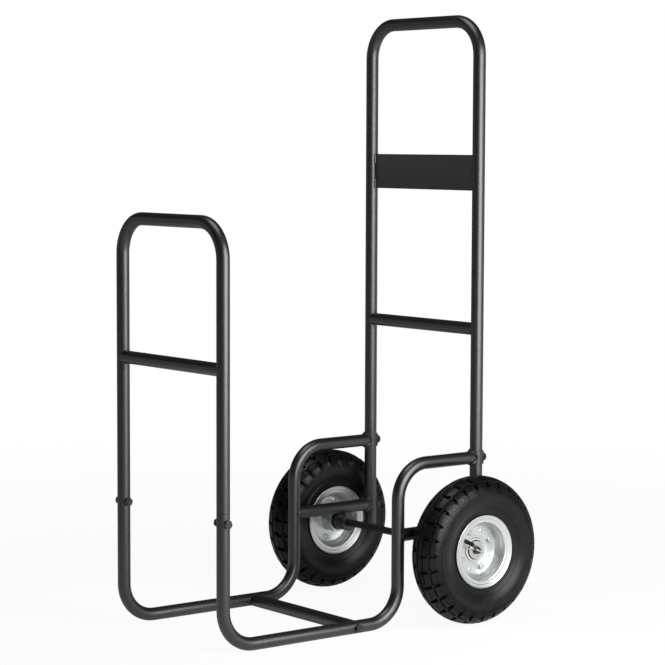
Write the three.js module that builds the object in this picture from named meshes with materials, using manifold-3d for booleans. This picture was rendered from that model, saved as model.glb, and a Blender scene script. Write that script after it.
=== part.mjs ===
// Fireside log cart: two bent-tube side frames, a front hoop, a tall handle hoop
// and two pneumatic wheels on a through axle. Millimetres, +Z up, ground at z = 0.
// The front hoop faces -Y, the handle stands at +Y, and "right" is the +X side.

import * as THREE from 'three';
import { mergeVertices } from 'three/addons/utils/BufferGeometryUtils.js';
import Module from 'manifold-3d';

const wasm = await Module();
wasm.setup();

// ---------------------------------------------------------------- driving sizes

const seat = 0.3;              // gap between pieces that touch
const lap = 0.5;               // how far the shapes of one piece run into each other

// Round steel tube used for the whole frame
const tubeR = 11;
const tubeWall = 1.5;
const bendR = 60;              // centreline radius of every bend

// Frame layout
const legSpacing = 293;        // between the centre planes of the two sides
const frontToHandle = 540;     // front hoop plane to handle plane
const frontToInner = 364;      // front hoop plane to the inner uprights
const hoopTopZ = 707;
const hoopBarZ = 461;
const hoopJointZ = 214;
const handleTopZ = 1045;
const handleBarZ = 501;
const handleFootZ = 121;
const plateZ = 772;
const plateHeight = 62;
const plateThickness = 3;
const upperRailZ = 277;
const baseBarGap = 23;         // base crossbar to the inner upright's bend

// Front joints: the hoop legs are swaged and plug into the open posts
const plugLength = 42;
const plugAbove = 17;          // joint bolt to the seam above it
const plugWall = 1.6;
const plugCollar = 8;          // drawn-down end inside the hoop's leg
const plugRoom = 5;            // clear bore below the plug

// Saddle joints on the handle legs
const saddleWall = 2;
const saddleHeight = 28;
const saddleWrap = 150;        // degrees round the front of the leg
const clampWrap = 84;          // degrees round the back of the leg
const clampHeight = 24;
const weldNutLength = 8;
const weldNutSlack = 1.5;      // weld nut inside the rail's bore

// Bolts
const boltR = 4;
const boltHeadAcross = 13;
const boltHeadHeight = 5.3;
const nutHeight = 6.5;
const boltTail = 2;            // shank beyond its nut
const insertLength = 12;       // threaded insert in each end of the base crossbar
const insertDepth = 1;         // its face inside the crossbar's end
const baseBoltGrip = 10;       // base bolt inside the crossbar
const saddleBoltGrip = 6;      // saddle bolt inside the saddle

// Axle and what carries it
const axleR = 6.35;
const axleSetback = 54;        // axle to the handle plane behind it
const bracketR = 15;
const bracketLength = 30;
const bracketInset = 5.5;      // bracket's inner end, inboard of the side's centre plane
const bracketRise = 3;         // bracket top to the underside of the brace
const neckHalf = 9;            // half the neck's length along the brace
const spacerR = 10;
const spacerLength = 10.9;
const washerR = 16;
const washerThickness = 2;
const pinR = 1.6;
const pinLength = 36;
const pinTilt = 22;            // degrees below level
const pinEyeR = 3.5;
const pinWireR = 1.3;
const pinLegR = 1;             // the pin's leg that is bent over the axle's end
const pinLegOut = 3;           // its bend beside the axle
const pinLegBack = 7;          // its tip past the axle's middle
const axleTip = 2.4;           // axle beyond the cotter pin

// Wheel: pneumatic tyre on a split steel rim
const tyreR = 128;
const tyreHalfWidth = 34.5;
const treadLugs = 28;          // lugs in each of the two staggered rows
const lugGroove = 5;           // groove between two lugs
const lugDraft = 0.9;          // slope of a lug's walls
const centreGroove = 3.2;      // groove round the middle of the tread
const treadDepth = 6.5;
const treadCarcass = 5;        // rubber under the tread's grooves
const shoulderInset = 6.9;     // tread's edge to the widest part
const shoulderDrop = 2.5;      // tread's middle to its edge
const bulgeTop = 19;           // tread's middle to the widest part
const bulgeHeight = 21;
const sidewall = 5;
const beadWidth = 7;
const tubeSkin = 2.5;          // inner tube's rubber
const rimSeatR = 50.8;
const rimFlange = 12.4;        // height of the flange over the bead seat
const rimHalfWidth = 27;
const rimSheet = 1.6;
const rimSeatDrop = 3.6;       // bead seat to the well wall's outer corner
const rimWellDrop = 3.2;       // that corner to the disc's
const rimSeatWidth = 9.5;      // from that corner to the rim's edge
const rimRoll = 4;             // rolled edge of the flange
const rimLip = 0.4;            // roll beyond the rim's half width
const rimEase = 0.6;           // rounding of the roll and of the disc's corner
const valveR = 3.75;
const valveBoreR = 1.4;
const valveReach = 31;
const valveRoot = 6;           // of that, inside the rim's wall
const valveStep = 2.5;         // valve's hole to the disc's edge, outward
const valveCut = 6;            // its bore, past both ends
const valveLean = 24;          // degrees that the valve leans outboard

// Hub
const hubWall = 4;             // round the bearings
const hubInboard = 22;         // hub barrel inboard of the wheel's centre plane
const hubProud = 1.6;          // hub barrel beyond the rim's outer disc
const hubFlangeGap = 3;        // hub flange inside the rim's disc
const hubFlange = 3;
const bearingR = 16.5;
const bearingWidth = 9;
const rimBoltR = 3;
const rimBoltHead = 10;
const rimBoltHeadHeight = 4;
const rimNutHeight = 5;
const rimBoltTail = 1.5;
const rimBoltInset = 6.5;      // bolt circle inside the hub flange's edge
const rimBolts = 4;
const firstRimBolt = { right: 24, left: 76 };     // degrees from +Y towards +Z
const valveAngle = { right: 149, left: -60 };

// ---------------------------------------------------------------- worked out

const sideX = legSpacing / 2;
const baseBarY = frontToInner - bendR - tubeR - baseBarGap;
const axleY = frontToHandle - axleSetback;
const baseRailZ = tubeR;
const axleZ = tyreR;
const braceZ = axleZ + bracketR + bracketRise + tubeR;
const seamZ = hoopJointZ + plugAbove;
const boreR = tubeR - tubeWall;
const setR = tubeR - tubeWall / 3;     // what is set into a tube's end, inside its wall
const plugR = boreR - seat;
const saddleR = tubeR + seat;
const copeR = saddleR + saddleWall + seat;
const bracketInnerX = sideX - bracketInset;
const bracketOuterX = bracketInnerX + bracketLength;
const hubInnerX = bracketOuterX + spacerLength + 2 * seat;
const wheelX = hubInnerX + hubInboard;           // centre plane of the wheel
const hubOuterX = wheelX + seat / 2 + rimSheet + hubProud;
const washerX = hubOuterX + seat;
const pinX = washerX + washerThickness + seat + pinR;
const axleEndX = pinX + pinR + axleTip;
const grooveR = tyreR - treadDepth;
const cavityR = grooveR - treadCarcass;
const rimFlangeR = rimSeatR + rimFlange;
const rimWellR = rimSeatR - rimSeatDrop;
const rimDiscR = rimWellR - rimWellDrop;
const hubR = bearingR + hubWall;
const hubFlangeR = rimDiscR - hubFlangeGap;
const rimBoltCircleR = hubFlangeR - rimBoltInset;
const rimFlangeX = rimHalfWidth - rimSheet;
const beadHeelX = rimFlangeX - rimSheet - 2 * seat;
const beadR = rimSeatR + rimSheet / 2 + 2 * seat;
const originY = (axleY + tyreR - tubeR) / 2;      // middle of the overall length

const tubeSides = 12;
const boreSides = 6;
const bendSteps = 4;
const wheelSides = 16;
const radians = THREE.MathUtils.degToRad;

// ---------------------------------------------------------------- solids

// A closed three.js geometry as a manifold solid, faces out.
function solid(geometry) {
  const bare = geometry.index ? geometry : mergeVertices(geometry);
  bare.deleteAttribute('normal');
  bare.deleteAttribute('uv');
  const merged = mergeVertices(bare, 1e-4);
  const vertProperties = new Float32Array(merged.attributes.position.array);
  const triVerts = new Uint32Array(merged.index.array);
  if (signedVolume(vertProperties, triVerts) < 0) {
    for (let i = 0; i < triVerts.length; i += 3) {
      [triVerts[i], triVerts[i + 1]] = [triVerts[i + 1], triVerts[i]];
    }
  }
  return new wasm.Manifold(new wasm.Mesh({ numProp: 3, vertProperties, triVerts }));
}

function signedVolume(points, triangles) {
  const corner = (i) => new THREE.Vector3().fromArray(points, 3 * triangles[i]);
  let volume = 0;
  for (let i = 0; i < triangles.length; i += 3) {
    volume += corner(i).dot(corner(i + 1).cross(corner(i + 2))) / 6;
  }
  return volume;
}

function toGeometry(manifold) {
  const mesh = manifold.getMesh();
  const geometry = new THREE.BufferGeometry();
  geometry.setAttribute('position', new THREE.BufferAttribute(mesh.vertProperties, 3));
  geometry.setIndex(new THREE.BufferAttribute(mesh.triVerts, 1));
  geometry.computeVertexNormals();
  return geometry;
}

function ring(radius, sides) {
  return Array.from({ length: sides }, (_, i) => {
    const angle = (2 * Math.PI * i) / sides;
    return new THREE.Vector2(radius * Math.cos(angle), radius * Math.sin(angle));
  });
}

// A path of straight runs joined by round bends, sampled only where it bends.
class BentPath extends THREE.Curve {
  constructor(corners, radius = bendR) {
    super();
    this.stations = [];
    const last = corners.length - 1;
    corners.forEach((corner, i) => {
      if (i === 0 || i === last) {
        const from = corners[i === 0 ? 0 : last - 1];
        const to = corners[i === 0 ? 1 : last];
        this.stations.push({ point: corner, tangent: to.clone().sub(from).normalize() });
        return;
      }
      this.addBend(corners[i - 1], corner, corners[i + 1], radius);
    });
  }

  addBend(before, corner, after, radius) {
    const start = corner.clone().sub(before).normalize();
    const end = after.clone().sub(corner).normalize();
    const turn = start.angleTo(end);
    const axis = start.clone().cross(end).normalize();
    const inward = axis.clone().cross(start);
    const centre = corner.clone()
      .addScaledVector(start, -radius * Math.tan(turn / 2))
      .addScaledVector(inward, radius);
    for (let i = 0; i <= bendSteps; i += 1) {
      const angle = (turn * i) / bendSteps;
      const arm = inward.clone().applyAxisAngle(axis, angle).multiplyScalar(-radius);
      this.stations.push({
        point: centre.clone().add(arm),
        tangent: start.clone().applyAxisAngle(axis, angle),
      });
    }
  }

  get steps() {
    return this.stations.length - 1;
  }

  getPointAt(u) {
    return this.stations[Math.round(u * this.steps)].point.clone();
  }

  getTangentAt(u) {
    return this.stations[Math.round(u * this.steps)].tangent.clone();
  }
}

// An open-ended round tube along corners given as [x, y, z]. The bore's corners and
// flats lie either side of its true radius, which keeps the wall's section true.
function tube(corners) {
  const path = new BentPath(corners.map((corner) => new THREE.Vector3(...corner)));
  const section = new THREE.Shape(ring(tubeR, tubeSides));
  const cornerR = boreR / Math.sqrt(Math.cos(Math.PI / boreSides));
  section.holes.push(new THREE.Path(ring(cornerR, boreSides)));
  return solid(new THREE.ExtrudeGeometry(section, { steps: path.steps, extrudePath: path }));
}

// A solid cylinder from one point to another.
function rod(from, to, radius, sides = tubeSides) {
  const start = new THREE.Vector3(...from);
  const along = new THREE.Vector3(...to).sub(start);
  const geometry = new THREE.CylinderGeometry(radius, radius, along.length(), sides);
  geometry.rotateY(Math.PI / sides);
  const turn = new THREE.Quaternion()
    .setFromUnitVectors(new THREE.Vector3(0, 1, 0), along.clone().normalize());
  geometry.applyQuaternion(turn);
  geometry.translate(...start.addScaledVector(along, 0.5).toArray());
  return solid(geometry);
}

// A cutter for a round hole, its flats at the true radius.
function drill(from, to, radius, sides = 6) {
  return rod(from, to, radius / Math.cos(Math.PI / sides), sides);
}

function block(min, max) {
  const size = max.map((value, i) => value - min[i]);
  const geometry = new THREE.BoxGeometry(...size);
  geometry.translate(...min.map((value, i) => value + size[i] / 2));
  return solid(geometry);
}

// A solid turned round the X axis from a closed outline of [x, radius].
function turned(outline, segments) {
  const points = [...outline, outline[0]].map(([x, radius]) => new THREE.Vector2(radius, x));
  const geometry = new THREE.LatheGeometry(points, segments);
  geometry.rotateZ(-Math.PI / 2);
  return solid(geometry);
}

function collar(x0, x1, innerR, outerR, segments = 12) {
  const inside = innerR / Math.cos(Math.PI / segments);
  return turned([[x0, inside], [x1, inside], [x1, outerR], [x0, outerR]], segments);
}

function hexAcross(across) {
  return across / Math.sqrt(3);
}

// A vertical cutter round a leg or upright at (x, y).
function upright(x, y, radius, z0, z1) {
  return drill([x, y, z0], [x, y, z1], radius, tubeSides);
}

// ---------------------------------------------------------------- front hoop

function frontHoop() {
  let hoop = tube([
    [-sideX, 0, seamZ],
    [-sideX, 0, hoopTopZ - tubeR],
    [sideX, 0, hoopTopZ - tubeR],
    [sideX, 0, seamZ],
  ]);
  for (const x of [-sideX, sideX]) {
    hoop = hoop.add(swagedPlug(x));
    hoop = hoop.subtract(jointHole(x));
  }
  return hoop;
}

// The drawn-down end of a hoop leg: its collar is set in the leg's own wall.
function swagedPlug(x) {
  const innerR = plugR - plugWall;
  const plug = turned([
    [-plugLength, innerR],
    [plugCollar, innerR],
    [plugCollar, setR],
    [0, setR],
    [0, plugR],
    [-plugLength, plugR],
  ], tubeSides);
  return plug.rotate([0, -90, 0]).translate([x, 0, seamZ]);
}

function jointHole(x) {
  const reach = tubeR + seat;
  return drill([x - reach, 0, hoopJointZ], [x + reach, 0, hoopJointZ], boltR + seat);
}

// A straight tube between the two sides, its ends cut to the legs they are welded to.
function crossTube(y, z) {
  let bar = tube([[-sideX, y, z], [sideX, y, z]]);
  for (const x of [-sideX, sideX]) {
    bar = bar.subtract(upright(x, y, tubeR + seat, z - 2 * tubeR, z + 2 * tubeR));
  }
  return bar;
}

// ---------------------------------------------------------------- side frames

function sideFrame(x) {
  const frame = tube([
    [x, 0, seamZ - seat],
    [x, 0, baseRailZ],
    [x, frontToInner, baseRailZ],
    [x, frontToInner, upperRailZ],
    [x, frontToHandle, upperRailZ],
  ]);
  return frame
    .subtract(drill([x, 0, seamZ], [x, 0, seamZ - plugLength - plugRoom], boreR, tubeSides))
    .subtract(saddleCope(x, upperRailZ))
    .subtract(jointHole(x))
    .subtract(baseBoltHole(x));
}

function saddleCope(x, z) {
  return upright(x, frontToHandle, copeR, z - 2 * tubeR, z + 2 * tubeR);
}

function lowerBrace(x) {
  const cope = upright(x, frontToInner, tubeR + seat, braceZ - 2 * tubeR, braceZ + 2 * tubeR);
  return tube([[x, frontToInner, braceZ], [x, frontToHandle, braceZ]])
    .subtract(cope)
    .subtract(saddleCope(x, braceZ));
}

// The half-round shell that the rail's end is welded to, with its weld nut.
function saddle(x, z) {
  const back = saddleR + saddleWall;
  const shell = shellSector(saddleR, back, saddleWrap, saddleHeight);
  const end = -back - weldNutLength;
  const nut = rod([0, lap - back, 0], [0, end, 0], boreR - weldNutSlack, 8);
  const hole = drill([0, 0, 0], [0, 2 * end, 0], boltR + seat);
  return shell.add(nut).subtract(hole).translate([x, frontToHandle, z]);
}

function clampWasher(x, z) {
  const back = saddleR + saddleWall;
  const hole = drill([0, 0, 0], [0, -2 * back, 0], boltR + seat);
  return shellSector(saddleR, back, clampWrap, clampHeight)
    .subtract(hole)
    .rotate([0, 0, 180])
    .translate([x, frontToHandle, z]);
}

// Part of an upright tube's wall, centred on -Y.
function shellSector(innerR, outerR, wrap, height) {
  const half = radians(wrap / 2);
  const middle = -Math.PI / 2;
  const section = new THREE.Shape();
  section.moveTo(0, 0);
  section.absarc(0, 0, outerR, middle - half, middle + half, false);
  const geometry = new THREE.ExtrudeGeometry(section, {
    depth: height,
    bevelEnabled: false,
    curveSegments: 4,
  });
  geometry.translate(0, 0, -height / 2);
  return solid(geometry).subtract(upright(0, 0, innerR, -height, height));
}

// ---------------------------------------------------------------- handle hoop

function handleHoop() {
  let hoop = tube([
    [-sideX, frontToHandle, handleFootZ],
    [-sideX, frontToHandle, handleTopZ - tubeR],
    [sideX, frontToHandle, handleTopZ - tubeR],
    [sideX, frontToHandle, handleFootZ],
  ]);
  for (const x of [-sideX, sideX]) {
    for (const z of [upperRailZ, braceZ]) {
      const from = [x, frontToHandle - tubeR - seat, z];
      const to = [x, frontToHandle + tubeR + seat, z];
      hoop = hoop.subtract(drill(from, to, boltR + seat));
    }
  }
  return hoop;
}

// The flat plate between the handle legs: one rounded strip, pushed along X.
function handlePlate() {
  const edge = plateThickness / 2;
  const straight = plateHeight / 2 - edge;
  const halfLength = sideX - tubeR - seat;
  const section = new THREE.Shape();
  section.absarc(0, straight, edge, 0, Math.PI, false);
  section.absarc(0, -straight, edge, Math.PI, 2 * Math.PI, false);
  const geometry = new THREE.ExtrudeGeometry(section, {
    depth: 2 * halfLength,
    bevelEnabled: false,
    curveSegments: 2,
  });
  geometry.rotateX(Math.PI / 2).rotateZ(Math.PI / 2);
  geometry.translate(-halfLength, frontToHandle, plateZ);
  return solid(geometry);
}

// ---------------------------------------------------------------- base crossbar

function baseCrossbar() {
  const endX = sideX - tubeR - seat;
  const on = (x) => [x, baseBarY, baseRailZ];
  let bar = tube([[-sideX, baseBarY, baseRailZ], [sideX, baseBarY, baseRailZ]]);
  for (const side of [-1, 1]) {
    const rail = drill(
      [side * sideX, baseBarY - 2 * tubeR, baseRailZ],
      [side * sideX, baseBarY + 2 * tubeR, baseRailZ],
      tubeR + seat,
      tubeSides,
    );
    const insertX = side * (endX - insertDepth);
    bar = bar
      .subtract(rail)
      .add(rod(on(insertX), on(insertX - side * insertLength), setR))
      .subtract(drill(on(side * sideX), on(side * (endX - 2 * insertLength)), boltR + seat));
  }
  return bar;
}

function baseBoltHole(x) {
  const reach = tubeR + seat;
  const from = [x - reach, baseBarY, baseRailZ];
  const to = [x + reach, baseBarY, baseRailZ];
  return drill(from, to, boltR + seat);
}

// ---------------------------------------------------------------- bolts

// A hex bolt along X: head under x = 0 to the outside, shank towards -X.
function hexBolt(shankR, shankLength, across, headHeight) {
  const head = rod([0, 0, 0], [headHeight, 0, 0], hexAcross(across), 6);
  const shank = rod([lap, 0, 0], [-shankLength, 0, 0], shankR, 6);
  return head.add(shank);
}

function hexNut(boreRadius, across, height) {
  const body = rod([0, 0, 0], [-height, 0, 0], hexAcross(across), 6);
  return body.subtract(drill([lap, 0, 0], [-height - lap, 0, 0], boreRadius));
}

function hoopBolt(side) {
  const under = tubeR + seat;
  const shankLength = 2 * under + nutHeight + boltTail;
  return hexBolt(boltR, shankLength, boltHeadAcross, boltHeadHeight)
    .translate([under, 0, 0])
    .rotate([0, 0, side > 0 ? 0 : 180])
    .translate([side * sideX, 0, hoopJointZ]);
}

function hoopNut(side) {
  return hexNut(boltR + seat, boltHeadAcross, nutHeight)
    .translate([-tubeR - seat, 0, 0])
    .rotate([0, 0, side > 0 ? 0 : 180])
    .translate([side * sideX, 0, hoopJointZ]);
}

function baseBolt(side) {
  const under = tubeR + seat;
  return hexBolt(boltR, 2 * under + baseBoltGrip, boltHeadAcross, boltHeadHeight)
    .translate([under, 0, 0])
    .rotate([0, 0, side > 0 ? 0 : 180])
    .translate([side * sideX, baseBarY, baseRailZ]);
}

function saddleBolt(side, z) {
  const under = saddleR + saddleWall + seat;
  return hexBolt(boltR, 2 * under + saddleBoltGrip, boltHeadAcross, boltHeadHeight)
    .translate([under, 0, 0])
    .rotate([0, 0, 90])
    .translate([side * sideX, frontToHandle, z]);
}

// ---------------------------------------------------------------- axle

function axle() {
  let bar = rod([-axleEndX, 0, 0], [axleEndX, 0, 0], axleR, 12);
  for (const x of [-pinX, pinX]) {
    bar = bar.subtract(pinShape(x, (pinR + seat) / Math.cos(Math.PI / 6), 4 * axleR));
  }
  return bar.translate([0, axleY, axleZ]);
}

// A rod across the axle at x, tilted as the cotter pin is.
function pinShape(x, radius, length) {
  return rod([0, -length / 2, 0], [0, length / 2, 0], radius, 6)
    .rotate([-pinTilt, 0, 0])
    .translate([x, 0, 0]);
}

function cotterPin(side) {
  const eye = new THREE.TorusGeometry(pinEyeR, pinWireR, 5, 9);
  eye.rotateY(Math.PI / 2);
  const loop = solid(eye).translate([pinX, -pinLength / 2 - pinEyeR + lap, 0]);
  const bendY = axleR + pinLegOut;
  const legX = axleEndX + seat + pinLegR;
  const leg = rod([pinX, bendY, 0], [legX, bendY, 0], pinLegR, 6)
    .add(rod([legX, bendY + pinLegR, 0], [legX, -pinLegBack, 0], pinLegR, 6))
    .add(loop)
    .rotate([-pinTilt, 0, 0]);
  return onAxle(pinShape(pinX, pinR, pinLength).add(leg), side);
}

// Sleeve under the brace that carries the axle, with a saddle neck up to the tube.
function axleBracket(side) {
  const inner = side * bracketInnerX;
  const outer = side * bracketOuterX;
  const neckEnd = side * (sideX + tubeR);
  const sleeve = rod([inner, axleY, axleZ], [outer, axleY, axleZ], bracketR, 16);
  const neck = block(
    [Math.min(inner, neckEnd), axleY - neckHalf, axleZ],
    [Math.max(inner, neckEnd), axleY + neckHalf, braceZ - tubeR / 2],
  );
  const brace = drill(
    [side * sideX, axleY - 2 * bracketR, braceZ],
    [side * sideX, axleY + 2 * bracketR, braceZ],
    tubeR + seat,
    tubeSides,
  );
  const bore = drill([inner, axleY, axleZ], [outer, axleY, axleZ], axleR + seat, 12);
  return sleeve.add(neck).subtract(brace).subtract(bore);
}

function axleSpacer(side) {
  const x0 = bracketOuterX + seat;
  const x1 = hubInnerX - seat;
  return onAxle(collar(x0, x1, axleR + seat, spacerR), side);
}

function outerWasher(side) {
  return onAxle(collar(washerX, washerX + washerThickness, axleR + seat, washerR), side);
}

// Places a piece made for the right wheel on the axle, mirrored for the left.
function onAxle(piece, side) {
  const placed = side > 0 ? piece : piece.mirror([1, 0, 0]);
  return placed.translate([0, axleY, axleZ]);
}

// ---------------------------------------------------------------- tyre

// The tyre's inside as [x, radius] points from the bead's toe to the crown.
function cavityOutline() {
  const toe = beadHeelX - beadWidth;
  const inside = tyreHalfWidth - sidewall;
  return [
    [toe, beadR],
    [inside, (tyreR + rimFlangeR) / 2],
    [tyreHalfWidth / 2, cavityR],
  ];
}

// Each half of the tread is a row of lugs, and the rows are half a pitch apart.
// A lugged ring has four points a pitch: both sides of the groove's floor, then
// both ends of the lug's crown. A plain ring has one point a pitch.
function tyre() {
  const edge = tyreHalfWidth;
  const lipR = rimFlangeR + 3 * seat;
  const half = [
    { x: centreGroove / 2, crown: grooveR },
    { x: centreGroove / 2 + lugDraft, crown: tyreR, floor: grooveR },
    { x: edge - shoulderInset, crown: tyreR - shoulderDrop, floor: grooveR - shoulderDrop },
    { x: edge, crown: tyreR - bulgeTop },
    { x: edge, crown: tyreR - bulgeTop - bulgeHeight },
    { x: beadHeelX + 2 * seat, crown: lipR },
    { x: beadHeelX, crown: beadR },
    ...cavityOutline().map(([x, crown]) => ({ x, crown })),
  ];
  const rings = [
    ...half.map((point) => ({ ...point, shift: 0 })),
    ...half.map((point) => ({ ...point, x: -point.x, shift: 0.5 })).reverse(),
  ];
  return ringSurface(rings);
}

function ringSurface(rings) {
  const pitch = (2 * Math.PI) / treadLugs;
  const groove = lugGroove / 2 / tyreR;
  const draft = lugDraft / tyreR;
  const positions = [];
  const lists = rings.map(({ x, crown, floor, shift }) => {
    const points = floor === undefined
      ? [[0, crown]]
      : [[-groove, floor], [groove, floor], [groove + draft, crown], [-groove - draft, crown]];
    const list = [];
    for (let lug = 0; lug < treadLugs; lug += 1) {
      points.forEach(([offset, radius], i) => {
        const angle = (lug + shift + (i === 3 ? 1 : 0)) * pitch + offset;
        list.push(positions.length / 3);
        positions.push(x, radius * Math.cos(angle), radius * Math.sin(angle));
      });
    }
    return list;
  });
  const faces = [];
  const point = (i) => new THREE.Vector3().fromArray(positions, 3 * i);
  const gap = (i, j) => point(i).distanceTo(point(j));
  lists.forEach((list, i) => joinRings(faces, list, lists[(i + 1) % lists.length], gap));
  const geometry = new THREE.BufferGeometry();
  geometry.setAttribute('position', new THREE.Float32BufferAttribute(positions, 3));
  geometry.setIndex(faces);
  return solid(geometry);
}

// Joins two like rings, each quad cut on its shorter diagonal, or a ring of four
// points a pitch to a plain one.
function joinRings(faces, a, b, gap) {
  if (a.length === b.length) {
    a.forEach((_, i) => {
      const next = (i + 1) % a.length;
      if (gap(a[i], b[next]) < gap(a[next], b[i])) {
        faces.push(a[i], a[next], b[next], a[i], b[next], b[i]);
      } else {
        faces.push(a[i], a[next], b[i], a[next], b[next], b[i]);
      }
    });
    return;
  }
  const [fine, plain, turn] = a.length > b.length ? [a, b, false] : [b, a, true];
  const add = (p, q, r) => (turn ? faces.push(p, r, q) : faces.push(p, q, r));
  plain.forEach((vertex, k) => {
    const nextVertex = plain[(k + 1) % plain.length];
    const f = [0, 1, 2, 3, 4].map((j) => fine[(4 * k + j) % fine.length]);
    add(f[0], f[1], vertex);
    add(f[1], f[2], vertex);
    add(f[2], f[3], vertex);
    add(f[3], nextVertex, vertex);
    add(f[3], f[4], nextVertex);
  });
}

// ---------------------------------------------------------------- inner tube

// Fills the tyre and the rim's well, a little clear of both, with the valve stem
// moulded on.
function innerTube(angle) {
  const [toe, side, crown] = cavityOutline();
  const segments = treadLugs / 2;
  const slack = 3 * seat;
  const outline = (inset) => {
    const right = [
      [toe[0] - 3 * slack - inset, rimWellR + rimSheet + slack + inset],
      [side[0] - 3 * slack - inset, side[1] + slack],
      [crown[0] - slack - inset / 2, crown[1] - slack - seat - inset],
    ];
    return [...right, ...right.map(([x, radius]) => [-x, radius]).reverse()];
  };
  const stem = valveAxis(angle);
  return turned(outline(0), segments)
    .add(rod(stem.root, stem.tip, valveR, 8))
    .subtract(turned(outline(tubeSkin), segments))
    .subtract(rod(stem.inside, stem.beyond, valveBoreR, 4));
}

// The valve's line: from inside the tube, through the rim's wall, into the dish.
function valveAxis(angle) {
  const lean = radians(valveLean);
  const wallX = beadHeelX - beadWidth - valveR;
  const wallR = rimDiscR + valveStep;
  const at = (reach) => {
    const radius = wallR - reach * Math.cos(lean);
    const x = wallX + reach * Math.sin(lean);
    return [x, radius * Math.cos(radians(angle)), radius * Math.sin(radians(angle))];
  };
  const tip = valveReach - valveRoot;
  return {
    inside: at(-valveRoot - valveCut),
    root: at(-valveRoot),
    tip: at(tip),
    beyond: at(tip + valveCut),
  };
}

// ---------------------------------------------------------------- rim

// One half of the split rim: disc, well wall, bead seat and rolled flange.
function rimHalf(outboard, angle, firstBolt) {
  const gap = seat / 2;
  const t = rimSheet;
  const w = rimHalfWidth;
  const dish = [
    [gap + t, hubR + seat],
    [gap + t, rimDiscR - rimEase],
    [w - rimSeatWidth, rimWellR],
    [rimFlangeX - t / 2, rimSeatR - t / 2],
    [rimFlangeX, rimFlangeR - rimRoll],
    [w + rimLip, rimFlangeR - rimEase],
  ];
  const back = [
    [w - rimEase, rimFlangeR],
    [rimFlangeX - t, rimFlangeR - rimRoll],
    [rimFlangeX - t, rimSeatR + t / 2],
    [w - rimSeatWidth - t / 2, rimWellR + t],
    [gap, rimDiscR + t / 2],
    [gap, hubR + seat],
  ];
  let half = turned([...dish, ...back], wheelSides);
  half = half.subtract(boltHoles(firstBolt));
  if (outboard) {
    const stem = valveAxis(angle);
    return half.subtract(drill(stem.root, stem.tip, valveR + seat, 8));
  }
  return half.mirror([1, 0, 0]);
}

function rimBoltPlaces(firstBolt) {
  return Array.from({ length: rimBolts }, (_, i) => {
    const angle = radians(firstBolt + (360 * i) / rimBolts);
    return [rimBoltCircleR * Math.cos(angle), rimBoltCircleR * Math.sin(angle)];
  });
}

function boltHoles(firstBolt) {
  const reach = hubInboard;
  return rimBoltPlaces(firstBolt)
    .map(([y, z]) => drill([-reach, y, z], [reach, y, z], rimBoltR + seat))
    .reduce((all, hole) => all.add(hole));
}

function rimBolt(place) {
  const under = seat / 2 + rimSheet + seat;
  const shankLength = 2 * under + hubFlange + rimNutHeight + rimBoltTail;
  return hexBolt(rimBoltR, shankLength, rimBoltHead, rimBoltHeadHeight)
    .translate([under, ...place]);
}

// ---------------------------------------------------------------- hub

// Barrel that holds a bearing at each end, its flange and the nuts welded to that.
function hub(firstBolt) {
  const flangeX = -seat / 2 - rimSheet - seat;
  const outerX = hubOuterX - wheelX;
  const innerR = (bearingR + seat) / Math.cos(Math.PI / wheelSides);
  let body = turned([
    [-hubInboard, innerR],
    [outerX, innerR],
    [outerX, hubR],
    [flangeX, hubR],
    [flangeX, hubFlangeR],
    [flangeX - hubFlange, hubFlangeR],
    [flangeX - hubFlange, hubR],
    [-hubInboard, hubR],
  ], wheelSides);
  for (const [y, z] of rimBoltPlaces(firstBolt)) {
    const x = flangeX - hubFlange;
    body = body.add(rod([x + lap, y, z], [x - rimNutHeight, y, z], hexAcross(rimBoltHead), 6));
  }
  return body.subtract(boltHoles(firstBolt));
}

function bearing(x0) {
  return collar(x0, x0 + bearingWidth, axleR + seat, bearingR);
}

// ---------------------------------------------------------------- assembly

const finishes = {
  powderCoat: { color: 0x26272a, roughness: 0.45, metalness: 0.2 },
  blackSteel: { color: 0x1d1e20, roughness: 0.5, metalness: 0.5 },
  zinc: { color: 0xc9cccd, roughness: 0.35, metalness: 0.9 },
  rubber: { color: 0x232324, roughness: 0.85, metalness: 0 },
};

const cart = new THREE.Group();
cart.position.set(0, -originY, 0);

function addPart(name, manifold, finish) {
  const mesh = new THREE.Mesh(
    toGeometry(manifold),
    new THREE.MeshStandardMaterial(finishes[finish]),
  );
  mesh.name = name;
  cart.add(mesh);
}

addPart('front_hoop', frontHoop(), 'powderCoat');
addPart('front_crossbar', crossTube(0, hoopBarZ), 'powderCoat');
addPart('handle_hoop', handleHoop(), 'powderCoat');
addPart('handle_crossbar', crossTube(frontToHandle, handleBarZ), 'powderCoat');
addPart('handle_plate', handlePlate(), 'powderCoat');
addPart('base_crossbar', baseCrossbar(), 'powderCoat');
addPart('axle', axle(), 'blackSteel');

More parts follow.
